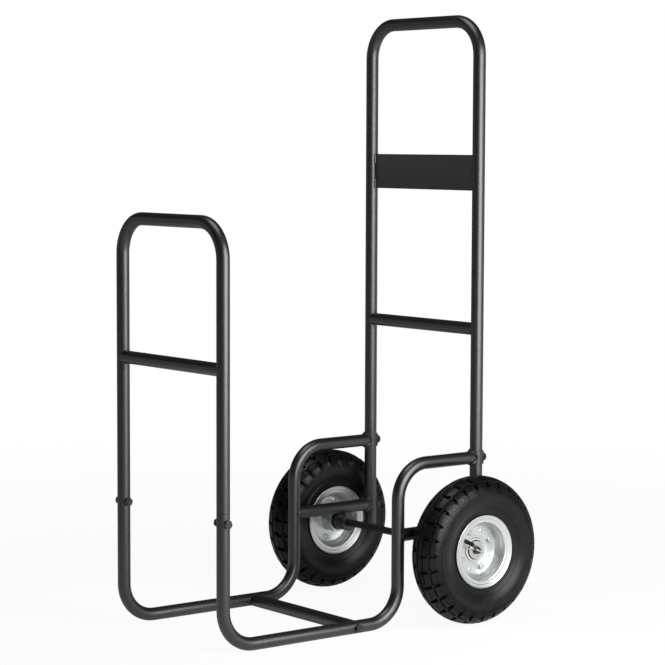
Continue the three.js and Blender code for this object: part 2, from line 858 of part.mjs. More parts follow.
for (const [name, side] of [['left', -1], ['right', 1]]) {
  const x = side * sideX;
  addPart(`side_frame_${name}`, sideFrame(x), 'powderCoat');
  addPart(`lower_brace_${name}`, lowerBrace(x), 'powderCoat');
  for (const [level, z] of [['upper', upperRailZ], ['lower', braceZ]]) {
    addPart(`${level}_saddle_${name}`, saddle(x, z), 'powderCoat');
    addPart(`${level}_clamp_${name}`, clampWasher(x, z), 'powderCoat');
    addPart(`${level}_bolt_${name}`, saddleBolt(side, z), 'blackSteel');
  }
  addPart(`hoop_bolt_${name}`, hoopBolt(side), 'blackSteel');
  addPart(`hoop_nut_${name}`, hoopNut(side), 'blackSteel');
  addPart(`base_bolt_${name}`, baseBolt(side), 'blackSteel');
  addPart(`axle_bracket_${name}`, axleBracket(side), 'powderCoat');
  addPart(`axle_spacer_${name}`, axleSpacer(side), 'blackSteel');
  addPart(`axle_washer_${name}`, outerWasher(side), 'zinc');
  addPart(`cotter_pin_${name}`, cotterPin(side), 'zinc');

  const bolt = firstRimBolt[name];
  const valve = valveAngle[name];
  const addWheelPart = (part, piece, finish) => {
    addPart(`${part}_${name}`, onAxle(piece.translate([wheelX, 0, 0]), side), finish);
  };
  addWheelPart('tyre', tyre(), 'rubber');
  addWheelPart('inner_tube', innerTube(valve), 'rubber');
  addWheelPart('rim_outer', rimHalf(true, valve, bolt), 'zinc');
  addWheelPart('rim_inner', rimHalf(false, valve, bolt), 'zinc');
  addWheelPart('hub', hub(bolt), 'zinc');
  addWheelPart('bearing_inner', bearing(-hubInboard), 'blackSteel');
  addWheelPart('bearing_outer', bearing(hubOuterX - wheelX - bearingWidth), 'blackSteel');
  rimBoltPlaces(bolt).forEach((place, i) => {
    addWheelPart(`rim_bolt_${i + 1}`, rimBolt(place), 'zinc');
  });
}

export default cart;
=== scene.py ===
"""A fireside log cart: a bolted frame of bent steel tube, black powder coated, that
stands on two pneumatic wheels. The sections follow the order in which it is put together.
"""

import math

import bpy
from mathutils import Matrix, Vector, noise


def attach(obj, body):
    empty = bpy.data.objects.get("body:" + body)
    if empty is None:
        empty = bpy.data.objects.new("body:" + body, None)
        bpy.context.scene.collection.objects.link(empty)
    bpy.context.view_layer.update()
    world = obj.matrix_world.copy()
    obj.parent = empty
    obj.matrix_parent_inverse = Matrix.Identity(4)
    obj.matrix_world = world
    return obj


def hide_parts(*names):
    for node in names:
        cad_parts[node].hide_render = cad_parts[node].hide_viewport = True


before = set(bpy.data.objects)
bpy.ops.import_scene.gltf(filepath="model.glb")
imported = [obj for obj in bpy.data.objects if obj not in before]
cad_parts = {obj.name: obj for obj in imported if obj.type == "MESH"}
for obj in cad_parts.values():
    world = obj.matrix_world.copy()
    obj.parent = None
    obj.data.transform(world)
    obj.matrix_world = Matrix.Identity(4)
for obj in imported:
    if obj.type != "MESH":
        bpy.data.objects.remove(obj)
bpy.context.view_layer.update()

# ------------------------------------------------------------------ side frames
# Each side is one length of 22 mm round steel tube with 1.5 mm wall: post, base rail,
# upright and upper rail. It is bent cold round a 60 mm former, then powder coated.

MM = 0.001
FRONT_HOOP_Y = -301.5  # the front hoop's plane, along the cart's length
TUBE_R = 11.0
TUBE_WALL = 1.5
BEND_R = 60.0
SIDE_X = 146.5
INNER_UPRIGHT_Y = 364.0
HANDLE_Y = 540.0
UPPER_RAIL_Z = 277.0
HOOP_SEAM_Z = 231.0
SADDLE_BACK_R = 13.3  # from the handle leg's axis to the back of the saddle on it


def linear(hex_colour):
    """An sRGB colour such as "#1c1c1e" as Blender's linear RGBA."""
    channels = [int(hex_colour[i : i + 2], 16) / 255 for i in (1, 3, 5)]
    return [c / 12.92 if c <= 0.04045 else ((c + 0.055) / 1.055) ** 2.4 for c in channels] + [1.0]


def add_node(material, kind, settings=None, **inputs):
    """Adds a shader node. An input is a number or colour, or another node's output."""
    node = material.node_tree.nodes.new(kind)
    for key, value in (settings or {}).items():
        setattr(node, key, value)
    for key, value in inputs.items():
        socket = node.inputs[int(key[1:])] if key[0] == "_" else node.inputs[key.replace("_", " ")]
        if isinstance(value, bpy.types.NodeSocket):
            material.node_tree.links.new(value, socket)
        else:
            socket.default_value = value
    return node


def blank_material(name):
    material = bpy.data.materials.new(name)
    material.use_nodes = True
    material.node_tree.nodes.clear()
    return material


def finish_material(material, shader):
    output = material.node_tree.nodes.new("ShaderNodeOutputMaterial")
    material.node_tree.links.new(shader.outputs["BSDF"], output.inputs["Surface"])
    return material


def spaced(mm):
    """The scale of a noise whose grains lie about so many millimetres apart."""
    return 1 / (mm * MM)


def powder_coated_steel():
    """Black polyester powder, baked on. It melts into a faint orange peel, which spreads
    each highlight, over a sand grain. The grain is drawn a few times too coarse, because
    the real one is much finer than a pixel."""
    m = blank_material("powder_coated_steel")
    place = add_node(m, "ShaderNodeTexCoord").outputs["Object"]
    peel = add_node(m, "ShaderNodeTexNoise", Vector=place, Scale=spaced(1.54), Detail=2.0)
    sand = add_node(m, "ShaderNodeTexNoise", Vector=place, Scale=spaced(0.385), Detail=1.0)
    cloud = add_node(m, "ShaderNodeTexNoise", Vector=place, Scale=spaced(55.6), Detail=4.0)
    relief = add_node(m, "ShaderNodeMath", {"operation": "MULTIPLY_ADD"},
                      _0=sand.outputs["Fac"], _1=0.35, _2=peel.outputs["Fac"])
    bump = add_node(m, "ShaderNodeBump", Strength=0.22, Distance=0.4 * MM,
                    Height=relief.outputs["Value"])
    colour = add_node(m, "ShaderNodeMix", {"data_type": "RGBA"}, _0=cloud.outputs["Fac"],
                      _6=linear("#0c0c0e"), _7=linear("#121214"))
    rough = add_node(m, "ShaderNodeMapRange", Value=cloud.outputs["Fac"],
                     To_Min=0.32, To_Max=0.38)
    return finish_material(m, add_node(
        m, "ShaderNodeBsdfPrincipled", Base_Color=colour.outputs["Result"],
        Roughness=rough.outputs["Result"], IOR=1.5, Specular_IOR_Level=0.9,
        Normal=bump.outputs["Normal"]))


POWDER_COAT = powder_coated_steel()


def at(x, y, z):
    """A place in the cart, in mm: y runs back from the front hoop, z up from the ground."""
    return Vector((x * MM, (y + FRONT_HOOP_Y) * MM, z * MM))


def bent_path(corners, steps=14):
    """Points and directions along straight runs joined by bends of the former's radius."""
    stations = [(corners[0], (corners[1] - corners[0]).normalized())]
    for before, corner, after in zip(corners, corners[1:], corners[2:]):
        start, end = (corner - before).normalized(), (after - corner).normalized()
        turn = start.angle(end)
        axis = start.cross(end).normalized()
        inward = axis.cross(start)
        radius = BEND_R * MM
        centre = corner - start * radius * math.tan(turn / 2) + inward * radius
        for i in range(steps + 1):
            spin = Matrix.Rotation(turn * i / steps, 3, axis)
            stations.append((centre - spin @ inward * radius, spin @ start))
    stations.append((corners[-1], (corners[-1] - corners[-2]).normalized()))
    return stations


def rings_along(stations, radius, sides=40):
    """A ring of points square to the path at each station, without twist. The radius
    is in mm, one for all or one for each station."""
    radii = radius if isinstance(radius, list) else [radius] * len(stations)
    direction = stations[0][1]
    across = direction.orthogonal().normalized()
    rings = []
    for (point, tangent), r in zip(stations, radii):
        across = (direction.rotation_difference(tangent) @ across).normalized()
        direction = tangent
        up = tangent.cross(across)
        rings.append([point + (across * math.cos(a) + up * math.sin(a)) * r * MM
                      for a in (2 * math.pi * i / sides for i in range(sides))])
    return rings


def skin(rings, loop=False):
    """Joins rings of points into a closed surface: round a loop, or capped at both ends."""
    points = [p for ring in rings for p in ring]
    n = len(rings[0])
    last = len(rings) if loop else len(rings) - 1
    faces = []
    for k in range(last):
        a, b = k * n, ((k + 1) % len(rings)) * n
        faces += [(a + i, a + (i + 1) % n, b + (i + 1) % n, b + i) for i in range(n)]
    if not loop:
        faces.append(tuple(range(n - 1, -1, -1)))
        faces.append(tuple(len(points) - n + i for i in range(n)))
    return points, faces


def flip(surface):
    points, faces = surface
    return points, [tuple(reversed(face)) for face in faces]


def outward(surface):
    """The same surface with its faces turned out."""
    points, faces = surface
    volume = 0.0
    for face in faces:
        for i in range(1, len(face) - 1):
            a, b, c = points[face[0]], points[face[i]], points[face[i + 1]]
            volume += a.dot(b.cross(c))
    return surface if volume > 0 else flip(surface)


def piece(name, surface, material, body="frame", nodes=(), crease=32):
    """Makes the object, gives it its finish and fixes it to the body that carries it."""
    points, faces = surface
    mesh = bpy.data.meshes.new(name)
    mesh.from_pydata([tuple(p) for p in points], [], faces)
    mesh.materials.append(material)
    mesh.shade_smooth()
    mesh.set_sharp_from_angle(angle=math.radians(crease))
    obj = bpy.data.objects.new(name, mesh)
    bpy.context.scene.collection.objects.link(obj)
    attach(obj, body)
    if nodes:
        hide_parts(*nodes)


def broken_edge(stations, outer_r, edge):
    """Stations and radii of a tube whose two ends have their sharp edge taken off."""
    (first, d0), (last, d1) = stations[0], stations[-1]
    points = [(first, d0), (first + d0 * edge * MM, d0), *stations[1:-1],
              (last - d1 * edge * MM, d1), (last, d1)]
    radii = [outer_r - edge] + [outer_r] * (len(points) - 2) + [outer_r - edge]
    return points, radii


BORE_R = TUBE_R - TUBE_WALL
SEAM_GAP = 0.12  # between the post's end and the shoulder of the hoop's plug
SEAM_EDGE = 0.15  # taken off both of them
NAMES = (("left", -1), ("right", 1))

for name, side in NAMES:
    x = side * SIDE_X
    path = bent_path([
        at(x, 0, HOOP_SEAM_Z - SEAM_GAP),
        at(x, 0, TUBE_R),
        at(x, INNER_UPRIGHT_Y, TUBE_R),
        at(x, INNER_UPRIGHT_Y, UPPER_RAIL_Z),
        at(x, HANDLE_Y - SADDLE_BACK_R, UPPER_RAIL_Z),
    ])
    path, radii = broken_edge(path, TUBE_R, SEAM_EDGE)
    radii[-2:] = [TUBE_R, TUBE_R]
    rings = rings_along(path, radii) + rings_along(path, BORE_R)[::-1]
    # The upper rail's end is cut to the round of the saddle that is welded on it.
    for ring in (rings[len(path) - 1], rings[len(path)]):
        for point in ring:
            reach = SADDLE_BACK_R - math.sqrt(SADDLE_BACK_R**2 - (point.x / MM - x) ** 2)
            point.y += reach * MM
    piece(f"side_tube_{name}", outward(skin(rings, loop=True)), POWDER_COAT,
          nodes=[f"side_frame_{name}"])

# ------------------------------------------------------------------ front hoop
# The hoop that keeps the logs from rolling forward is the same tube. Both its ends are
# drawn down to slide 42 mm into the posts, and a bolt goes through each joint.

HOOP_TOP_Z = 707.0
PLUG_LENGTH = 42.0
PLUG_R = 9.2
PLUG_BORE_R = 7.6

hoop_path = bent_path([
    at(-SIDE_X, 0, HOOP_SEAM_Z),
    at(-SIDE_X, 0, HOOP_TOP_Z - TUBE_R),
    at(SIDE_X, 0, HOOP_TOP_Z - TUBE_R),
    at(SIDE_X, 0, HOOP_SEAM_Z),
])
up, down = Vector((0, 0, 1)), Vector((0, 0, -1))
# How far below the seam a plug's stations lie, from its tip up to the full tube.
OUTER_DROPS = (PLUG_LENGTH, PLUG_LENGTH - 1.5, 0, 0, -SEAM_EDGE)
OUTER_RADII = [PLUG_R - 1, PLUG_R, PLUG_R, TUBE_R - SEAM_EDGE, TUBE_R]
INNER_DROPS = (PLUG_LENGTH, -4, -9)
INNER_RADII = [PLUG_BORE_R, PLUG_BORE_R, BORE_R]


def plugged(drops, plug_radii, radius):
    """The hoop's stations and radii, with a plug's stations at both ends."""
    stations = ([(at(-SIDE_X, 0, HOOP_SEAM_Z - h), up) for h in drops] + hoop_path[1:-1]
                + [(at(SIDE_X, 0, HOOP_SEAM_Z - h), down) for h in reversed(drops)])
    return stations, plug_radii + [radius] * (len(hoop_path) - 2) + plug_radii[::-1]


rings = rings_along(*plugged(OUTER_DROPS, OUTER_RADII, TUBE_R))
rings += rings_along(*plugged(INNER_DROPS, INNER_RADII, BORE_R))[::-1]
piece("front_hoop_tube", outward(skin(rings, loop=True)), POWDER_COAT, nodes=["front_hoop"])

# ------------------------------------------------------------------ crossbars
# Straight lengths of the same tube. Their ends are cut to the round of the legs and
# welded all round, except the base bar's, which hold threaded inserts for its bolts.

HOOP_BAR_Z = 461.0
HANDLE_BAR_Z = 501.0
BASE_BAR_Y = 270.0
COPE_SIDE = 2.0  # a coped end stops at least this far short of the leg's axis
BEAD_R = 1.25
BEAD_SPREAD = 0.88  # of the bar's radius: a bead stays within the width of the leg
BEAD_STEP = 0.55  # between a bead's rings, fine enough to draw its ripples
SEAM_POINTS = 64
INSERT_ENDS = (24.0, 14.0)  # of a threaded insert, in from the side frame's plane


def together(*surfaces):
    points, faces = [], []
    for more_points, more_faces in surfaces:
        faces += [tuple(i + len(points) for i in face) for face in more_faces]
        points += more_points
    return points, faces


def crossbar(y, z, leg_direction):
    """A tube along X, its ends coped to legs that run up or along the cart."""
    stations = [(at(x, y, z), Vector((1, 0, 0))) for x in (-SIDE_X, -120, -40, 40, 120, SIDE_X)]
    rings = rings_along(stations, TUBE_R, 48) + rings_along(stations, BORE_R, 48)[::-1]
    for ring, s in ((rings[0], -1), (rings[5], 1), (rings[6], 1), (rings[11], -1)):
        for point in ring:
            off = point - at(0, y, z)
            off = (off.y if leg_direction == "up" else off.z) / MM
            reach = math.sqrt(max(TUBE_R**2 - off * off, 0.0))
            point.x = s * (SIDE_X - max(reach, COPE_SIDE)) * MM
    return outward(skin(rings, loop=True))


def seam_round_bar(y, z, s):
    """The line on an upright leg's surface where a crossbar meets it."""
    line = []
    for i in range(SEAM_POINTS):
        a = 2 * math.pi * i / SEAM_POINTS
        off = BEAD_SPREAD * TUBE_R * math.sin(a)
        reach = math.sqrt(TUBE_R**2 - off * off)
        line.append(at(s * (SIDE_X - reach), y + off, z + TUBE_R * math.cos(a)))
    return line


def weld_bead(line, size, seed, closed=True, ripple=1.7, swell=0.16):
    """A MIG bead along a seam: overlapping ripples, uneven in width, frozen in the steel.
    A ripple is so many mm long, and swells the bead by a share of its size."""
    n, sides = len(line), 8
    rings, travelled = [], 0.0
    for k, point in enumerate(line):
        ahead = line[(k + 1) % n] if closed or k < n - 1 else point
        behind = line[k - 1] if closed or k > 0 else point
        tangent = (ahead - behind).normalized()
        across = tangent.orthogonal().normalized()
        if rings:
            across = (last_across - tangent * last_across.dot(tangent)).normalized()
            travelled += (point - line[k - 1]).length / MM
        last_across = across
        up = tangent.cross(across)
        wobble = noise.noise(Vector((travelled * 0.13, seed * 7.3, 0))) * 0.35
        wave = abs(math.sin(math.pi * travelled / ripple)) * swell
        r = size * (0.9 + wobble + wave)
        if not closed and k in (0, n - 1):
            r = size * 0.3
        rings.append([point + (across * math.cos(a) + up * math.sin(a)) * r * MM
                      for a in (2 * math.pi * i / sides for i in range(sides))])
    return outward(skin(rings, loop=closed))


def evenly(line, step):
    """The same closed line with a point every step millimetres."""
    out, carry = [], 0.0
    for a, b in zip(line, line[1:] + line[:1]):
        length = (b - a).length / MM
        while carry < length:
            out.append(a.lerp(b, carry / length))
            carry += step
        carry -= length
    return out


for name, node_name, y, z in (
    ("front_bar", "front_crossbar", 0, HOOP_BAR_Z),
    ("handle_bar", "handle_crossbar", HANDLE_Y, HANDLE_BAR_Z),
):
    piece(name, crossbar(y, z, "up"), POWDER_COAT, nodes=[node_name])
    beads = [weld_bead(evenly(seam_round_bar(y, z, s), BEAD_STEP), BEAD_R, s + z)
             for s in (-1, 1)]
    piece(f"{name}_welds", together(*beads), POWDER_COAT)

base_bar = crossbar(BASE_BAR_Y, TUBE_R, "along")
inserts = []
for s in (-1, 1):
    inserts.append(outward(skin(rings_along(
        [(at(s * (SIDE_X - end), BASE_BAR_Y, TUBE_R), Vector((s, 0, 0))) for end in INSERT_ENDS],
        BORE_R + 0.3, 24))))
piece("base_bar", together(base_bar, *inserts), POWDER_COAT, nodes=["base_crossbar"])

# ------------------------------------------------------------------ lower braces
# A short straight tube on each side, from the upright back to the handle leg. The axle
# hangs under it. Its front end is welded to the upright, its back end to a saddle.

BRACE_Z = 157.0


def seam_on_leg(x, y, z, leg_r, facing):
    """The line on an upright leg's surface where a tube that runs along the cart meets it,
    on the leg's front (facing -1) or back (facing 1)."""
    line = []
    for i in range(SEAM_POINTS):
        a = 2 * math.pi * i / SEAM_POINTS
        off = TUBE_R * math.sin(a)
        reach = math.sqrt(max(leg_r**2 - off * off, COPE_SIDE**2))
        line.append(at(x + off, y + facing * reach, z + TUBE_R * math.cos(a)))
    return line


for name, side in NAMES:
    x = side * SIDE_X
    y0, y1 = INNER_UPRIGHT_Y, HANDLE_Y
    along = Vector((0, 1, 0))
    stations = [(at(x, y, BRACE_Z), along) for y in (y0, y0 + 30, y1 - 30, y1)]
    rings = rings_along(stations, TUBE_R, 48) + rings_along(stations, BORE_R, 48)[::-1]
    for index, centre, cope, sign in ((0, y0, TUBE_R, 1), (7, y0, TUBE_R, 1),
                                      (3, y1, SADDLE_BACK_R, -1), (4, y1, SADDLE_BACK_R, -1)):
        for point in rings[index]:
            off = point.x / MM - x
            reach = math.sqrt(max(cope**2 - off * off, 0.0))
            point.y = at(0, centre + sign * max(reach, COPE_SIDE), 0).y
    piece(f"brace_{name}", outward(skin(rings, loop=True)), POWDER_COAT,
          nodes=[f"lower_brace_{name}"])
    seam = seam_on_leg(x, y0, BRACE_Z, TUBE_R, 1)
    piece(f"brace_weld_{name}", weld_bead(evenly(seam, BEAD_STEP), BEAD_R, 3 + side), POWDER_COAT)

# ------------------------------------------------------------------ saddles
# Half-round shells, pressed from 2 mm steel and welded to the ends of the upper rails
# and braces. Each seats on the front of a handle leg.

SADDLE_INNER_R = 11.15
SADDLE_WRAP = 150
SADDLE_HEIGHT = 28.0
SADDLE_EDGE = 0.4  # taken off the sheet's outer edge


def pressed_shell(x, y, z, facing, wrap, height, corner=3.0):
    """A sheet bent round a leg, facing -Y (facing -1) or +Y, with rounded corners.
    The outline is a rounded rectangle in arc length and height, wrapped round the leg."""
    inner_r, outer_r, edge = SADDLE_INNER_R, SADDLE_BACK_R, SADDLE_EDGE
    half_w = math.radians(wrap / 2) * outer_r
    half_h = height / 2
    rows, columns = 24, 28
    grid = []
    for i in range(rows + 1):
        h = -half_h + height * i / rows
        inset = max(corner - (half_h - abs(h)), 0.0)
        short = corner - math.sqrt(max(corner**2 - inset**2, 0.0)) if inset > 0 else 0.0
        w = half_w - short
        grid.append([(w * (2 * j / columns - 1), h) for j in range(columns + 1)])

    def place(w, h, r):
        a = w / outer_r
        return at(x + r * math.sin(a), y + facing * r * math.cos(a), z + h)

    rim = (grid[0] + [row[-1] for row in grid[1:-1]] + grid[-1][::-1]
           + [row[0] for row in grid[-2:0:-1]])
    points, faces = [], []
    for r, e in ((inner_r, 0.0), (outer_r - edge, 0.0), (outer_r, edge)):
        points += [place(w * (1 - e / half_w), h * (1 - e / half_h), r) for w, h in rim]
    n = len(points) // 3
    for k in (0, 1):
        a, b = k * n, (k + 1) * n
        faces += [(a + i, a + (i + 1) % n, b + (i + 1) % n, b + i) for i in range(n)]
    for base, r, e, turn in ((0, inner_r, 0.0, True), (2 * n, outer_r, edge, False)):
        ring = ([(0, j) for j in range(columns + 1)] + [(i, columns) for i in range(1, rows)]
                + [(rows, columns - j) for j in range(columns + 1)]
                + [(rows - i, 0) for i in range(1, rows)])
        index = {key: base + k for k, key in enumerate(ring)}
        for i in range(1, rows):
            for j in range(1, columns):
                w, h = grid[i][j]
                index[(i, j)] = len(points)
                points.append(place(w * (1 - e / half_w), h * (1 - e / half_h), r))
        for i in range(rows):
            for j in range(columns):
                quad = (index[(i, j)], index[(i, j + 1)],
                        index[(i + 1, j + 1)], index[(i + 1, j)])
                faces.append(quad if turn else quad[::-1])
    return outward((points, faces))


for name, side in NAMES:
    x = side * SIDE_X
    for level, z in (("upper", UPPER_RAIL_Z), ("lower", BRACE_Z)):
        shell = pressed_shell(x, HANDLE_Y, z, -1, SADDLE_WRAP, SADDLE_HEIGHT)
        piece(f"{level}_saddle_plate_{name}", shell, POWDER_COAT,
              nodes=[f"{level}_saddle_{name}"])
        seam = evenly(seam_on_leg(x, HANDLE_Y, z, SADDLE_BACK_R, -1), 0.5)
        # These beads are the cart's coarsest, with long swollen ripples.
        bead = weld_bead(seam, 2.2, z + side, ripple=3.2, swell=0.5)
        piece(f"{level}_saddle_weld_{name}", bead, POWDER_COAT)

# ------------------------------------------------------------------ handle hoop
# The tall hoop at the back, of the same tube. Its feet are cut square and left open,
# and its front legs stand in the saddles.

HANDLE_TOP_Z = 1045.0
HANDLE_FOOT_Z = 121.0
FOOT_EDGE = 0.45  # filed off the cut feet

path = bent_path([
    at(-SIDE_X, HANDLE_Y, HANDLE_FOOT_Z),
    at(-SIDE_X, HANDLE_Y, HANDLE_TOP_Z - TUBE_R),
    at(SIDE_X, HANDLE_Y, HANDLE_TOP_Z - TUBE_R),
    at(SIDE_X, HANDLE_Y, HANDLE_FOOT_Z),
])
path, radii = broken_edge(path, TUBE_R, FOOT_EDGE)
rings = rings_along(path, radii) + rings_along(path, BORE_R)[::-1]
piece("handle_hoop_tube", outward(skin(rings, loop=True)), POWDER_COAT, nodes=["handle_hoop"])

# ------------------------------------------------------------------ handle plate
# A bare strip of 3 mm flat steel, 62 mm high, butted between the handle legs at their
# middle and held by a short weld at each corner.

PLATE_Z = 772.0
PLATE_HEIGHT = 62.0
PLATE_THICKNESS = 3.0
TACK_ENDS = (1, 17)  # of a corner's weld, down or up from the plate's edge
TACK_STEPS = 30


def rounded(outline, radius, steps=4):
    """A closed outline of (a, b) points with each corner rounded."""
    out = []
    n = len(outline)
    for i, corner in enumerate(outline):
        p = Vector(corner)
        to_last = (Vector(outline[i - 1]) - p)
        to_next = (Vector(outline[(i + 1) % n]) - p)
        bend = math.pi - to_last.angle(to_next)
        if bend < 0.2:
            out.append(tuple(p))
            continue
        cut = radius * math.tan(bend / 2)
        cut = min(cut, 0.45 * to_last.length, 0.45 * to_next.length)
        a, b = p + to_last.normalized() * cut, p + to_next.normalized() * cut
        for k in range(steps + 1):
            t = k / steps
            out.append(tuple(a * (1 - t) ** 2 + p * 2 * t * (1 - t) + b * t * t))
    return out


half_h, half_t = PLATE_HEIGHT / 2, PLATE_THICKNESS / 2
section = rounded([(-half_t, -half_h), (half_t, -half_h), (half_t, half_h),
                   (-half_t, half_h)], 0.8)
reach = SIDE_X - TUBE_R
rings = [[at(x, HANDLE_Y + a, PLATE_Z + b) for a, b in section] for x in (-reach, 0, reach)]
piece("plate", outward(skin(rings)), POWDER_COAT, nodes=["handle_plate"])
tacks = []
for s in (-1, 1):
    for face in (-1, 1):
        for top in (-1, 1):
            z0, z1 = (PLATE_Z + top * (half_h - end) for end in TACK_ENDS)
            line = [at(s * (reach - 0.2), HANDLE_Y + face * half_t,
                       z0 + (z1 - z0) * i / TACK_STEPS) for i in range(TACK_STEPS + 1)]
            tacks.append(weld_bead(line, 1.5, s + 2 * face + 5 * top, closed=False))
piece("plate_welds", together(*tacks), POWDER_COAT)

# ------------------------------------------------------------------ frame bolts
# M8 hex bolts, blacked in hot oxide and oiled, so they are a little greyer than the
# coated tube. A curved clamp washer spreads the load behind each handle leg.

BOLT_R = 4.0
BOLT_ACROSS = 13.0
BOLT_HEAD = 5.3
BOLT_SEAT = 0.1  # between a head or nut and the tube
NUT_HEIGHT = 6.5
HOOP_BOLT_Z = 214.0
CLAMP_WRAP = 84
CLAMP_HEIGHT = 24.0


def blacked_steel():
    """Hot black oxide on a cold-forged bolt: dark magnetite, thin enough that the
    steel's gloss shows through, with rubbed edges and a film of oil."""
    m = blank_material("blacked_steel")
    place = add_node(m, "ShaderNodeTexCoord").outputs["Object"]
    film = add_node(m, "ShaderNodeTexNoise", Vector=place, Scale=spaced(2.4), Detail=5.0)
    grain = add_node(m, "ShaderNodeTexNoise", Vector=place, Scale=spaced(0.31), Detail=2.0)
    colour = add_node(m, "ShaderNodeMix", {"data_type": "RGBA"}, _0=film.outputs["Fac"],
                      _6=linear("#232325"), _7=linear("#3d3d3f"))
    rough = add_node(m, "ShaderNodeMapRange", Value=film.outputs["Fac"], To_Min=0.3, To_Max=0.52)
    bump = add_node(m, "ShaderNodeBump", Strength=0.25, Distance=0.2 * MM,
                    Height=grain.outputs["Fac"])
    return finish_material(m, add_node(
        m, "ShaderNodeBsdfPrincipled", Base_Color=colour.outputs["Result"], Metallic=0.55,
        Roughness=rough.outputs["Result"], Normal=bump.outputs["Normal"]))


BLACKED_STEEL = blacked_steel()


def hex_radius(across, a):
    """Distance from a hexagon's middle to its edge in direction a."""
    turn = (a + math.pi / 6) % (math.pi / 3) - math.pi / 6
    return across / 2 / math.cos(turn)


def hex_rings(across, low, high, chamfer_low=False, sides=48):
    """Rings of a hexagonal body along +X, with its corners turned off at the top."""
    flat = 0.47 * across
    angles = [2 * math.pi * i / sides for i in range(sides)]
    drop = [(hex_radius(across, a) - flat) * math.tan(math.radians(30)) for a in angles]

    def ring(xs, radii):
        return [Vector((x, r * math.cos(a), r * math.sin(a)))
                for x, r, a in zip(xs, radii, angles)]

    full = [hex_radius(across, a) for a in angles]
    rings = []
    if chamfer_low:
        rings.append(ring([low] * sides, [flat] * sides))
        rings.append(ring([low + d for d in drop], full))
    else:
        rings.append(ring([low] * sides, full))
    rings.append(ring([high - d for d in drop], full))
    rings.append(ring([high] * sides, [flat] * sides))
    return rings


def round_ring(x, r, sides=48):
    return [Vector((x, r * math.cos(a), r * math.sin(a)))
            for a in (2 * math.pi * i / sides for i in range(sides))]


def hex_bolt(shank_r, shank_length, across, head):
    """Head above x = 0 with a washer face, shank down -X with a chamfered tip."""
    tip, washer_face = 0.7, 0.35
    rings = [round_ring(-shank_length, shank_r - tip), round_ring(-shank_length + tip, shank_r)]
    rings += [round_ring(0.0, shank_r), round_ring(0.0, 0.46 * across),
              round_ring(washer_face, 0.46 * across)]
    rings += hex_rings(across, washer_face, head)
    rings += [round_ring(head, 0.3 * across), round_ring(head - 0.3, 0.26 * across)]
    return outward(skin(rings))


def hex_nut(bore_r, across, height):
    rings = hex_rings(across, -height, 0.0, chamfer_low=True)
    rings += [round_ring(0.0, bore_r + 0.5), round_ring(-0.5, bore_r),
              round_ring(-height + 0.5, bore_r), round_ring(-height, bore_r + 0.5)]
    return outward(skin(rings, loop=True))


def placed(surface, axis, origin, spin=0.0):
    """Turns a surface made along +X, in mm, to lie along an axis from a place in the cart."""
    turn = Vector((1, 0, 0)).rotation_difference(Vector(axis)).to_matrix()
    turn = turn @ Matrix.Rotation(spin, 3, "X")
    points, faces = surface
    return [origin + turn @ p * MM for p in points], faces


for name, side in NAMES:
    x = side * SIDE_X
    out = (side, 0, 0)
    under = TUBE_R + BOLT_SEAT
    bolt = hex_bolt(BOLT_R, 2 * under + NUT_HEIGHT + 2, BOLT_ACROSS, BOLT_HEAD)
    piece(f"hoop_joint_bolt_{name}", placed(bolt, out, at(x + side * under, 0, HOOP_BOLT_Z), 0.35),
          BLACKED_STEEL, nodes=[f"hoop_bolt_{name}"], crease=24)
    nut = hex_nut(BOLT_R + 0.02, BOLT_ACROSS, NUT_HEIGHT)
    piece(f"hoop_joint_nut_{name}", placed(nut, out, at(x - side * under, 0, HOOP_BOLT_Z), 0.9),
          BLACKED_STEEL, nodes=[f"hoop_nut_{name}"], crease=24)
    bolt = hex_bolt(BOLT_R, 2 * under + 10, BOLT_ACROSS, BOLT_HEAD)
    piece(f"base_bar_bolt_{name}",
          placed(bolt, out, at(x + side * under, BASE_BAR_Y, TUBE_R), 0.15),
          BLACKED_STEEL, nodes=[f"base_bolt_{name}"], crease=24)
    for level, z in (("upper", UPPER_RAIL_Z), ("lower", BRACE_Z)):
        clamp = pressed_shell(x, HANDLE_Y, z, 1, CLAMP_WRAP, CLAMP_HEIGHT)
        piece(f"{level}_clamp_washer_{name}", clamp, POWDER_COAT, nodes=[f"{level}_clamp_{name}"])
        bolt = hex_bolt(BOLT_R, 2 * SADDLE_BACK_R + 6, BOLT_ACROSS, BOLT_HEAD)
        piece(f"{level}_saddle_bolt_{name}",
              placed(bolt, (0, 1, 0), at(x, HANDLE_Y + SADDLE_BACK_R, z), 0.2 + 0.3 * side),
              BLACKED_STEEL, nodes=[f"{level}_bolt_{name}"], crease=24)

# ------------------------------------------------------------------ axle and its sleeves
# A half-inch bar of blacked steel that stands still, held by a sleeve under each brace.
# The sleeve is a turned boss with a saddle neck, welded up to the tube.

AXLE_R = 6.35
AXLE_Y = 486.0
AXLE_Z = 128.0
AXLE_END_X = 216.05
RUNNING_FIT = 0.15  # the play of each bore on the axle
SLEEVE_R = 15.0
SLEEVE_IN_X = 141.0
SLEEVE_LENGTH = 30.0
NECK_FOOT = 11.0  # the neck starts this far above the axle, inside the sleeve
NECK_HALF = 0.6 * SLEEVE_R
NECK_INSET = 0.6


def on_axle(x):
    return at(x, AXLE_Y, AXLE_Z)


def turned(outline, radius=0.6, sides=64, steps=3):
    """A body turned round +X from a closed outline of (x, r) in mm, corners eased."""
    smooth = rounded(outline, radius, steps)
    return outward(skin([round_ring(x, r, sides) for x, r in smooth], loop=True))


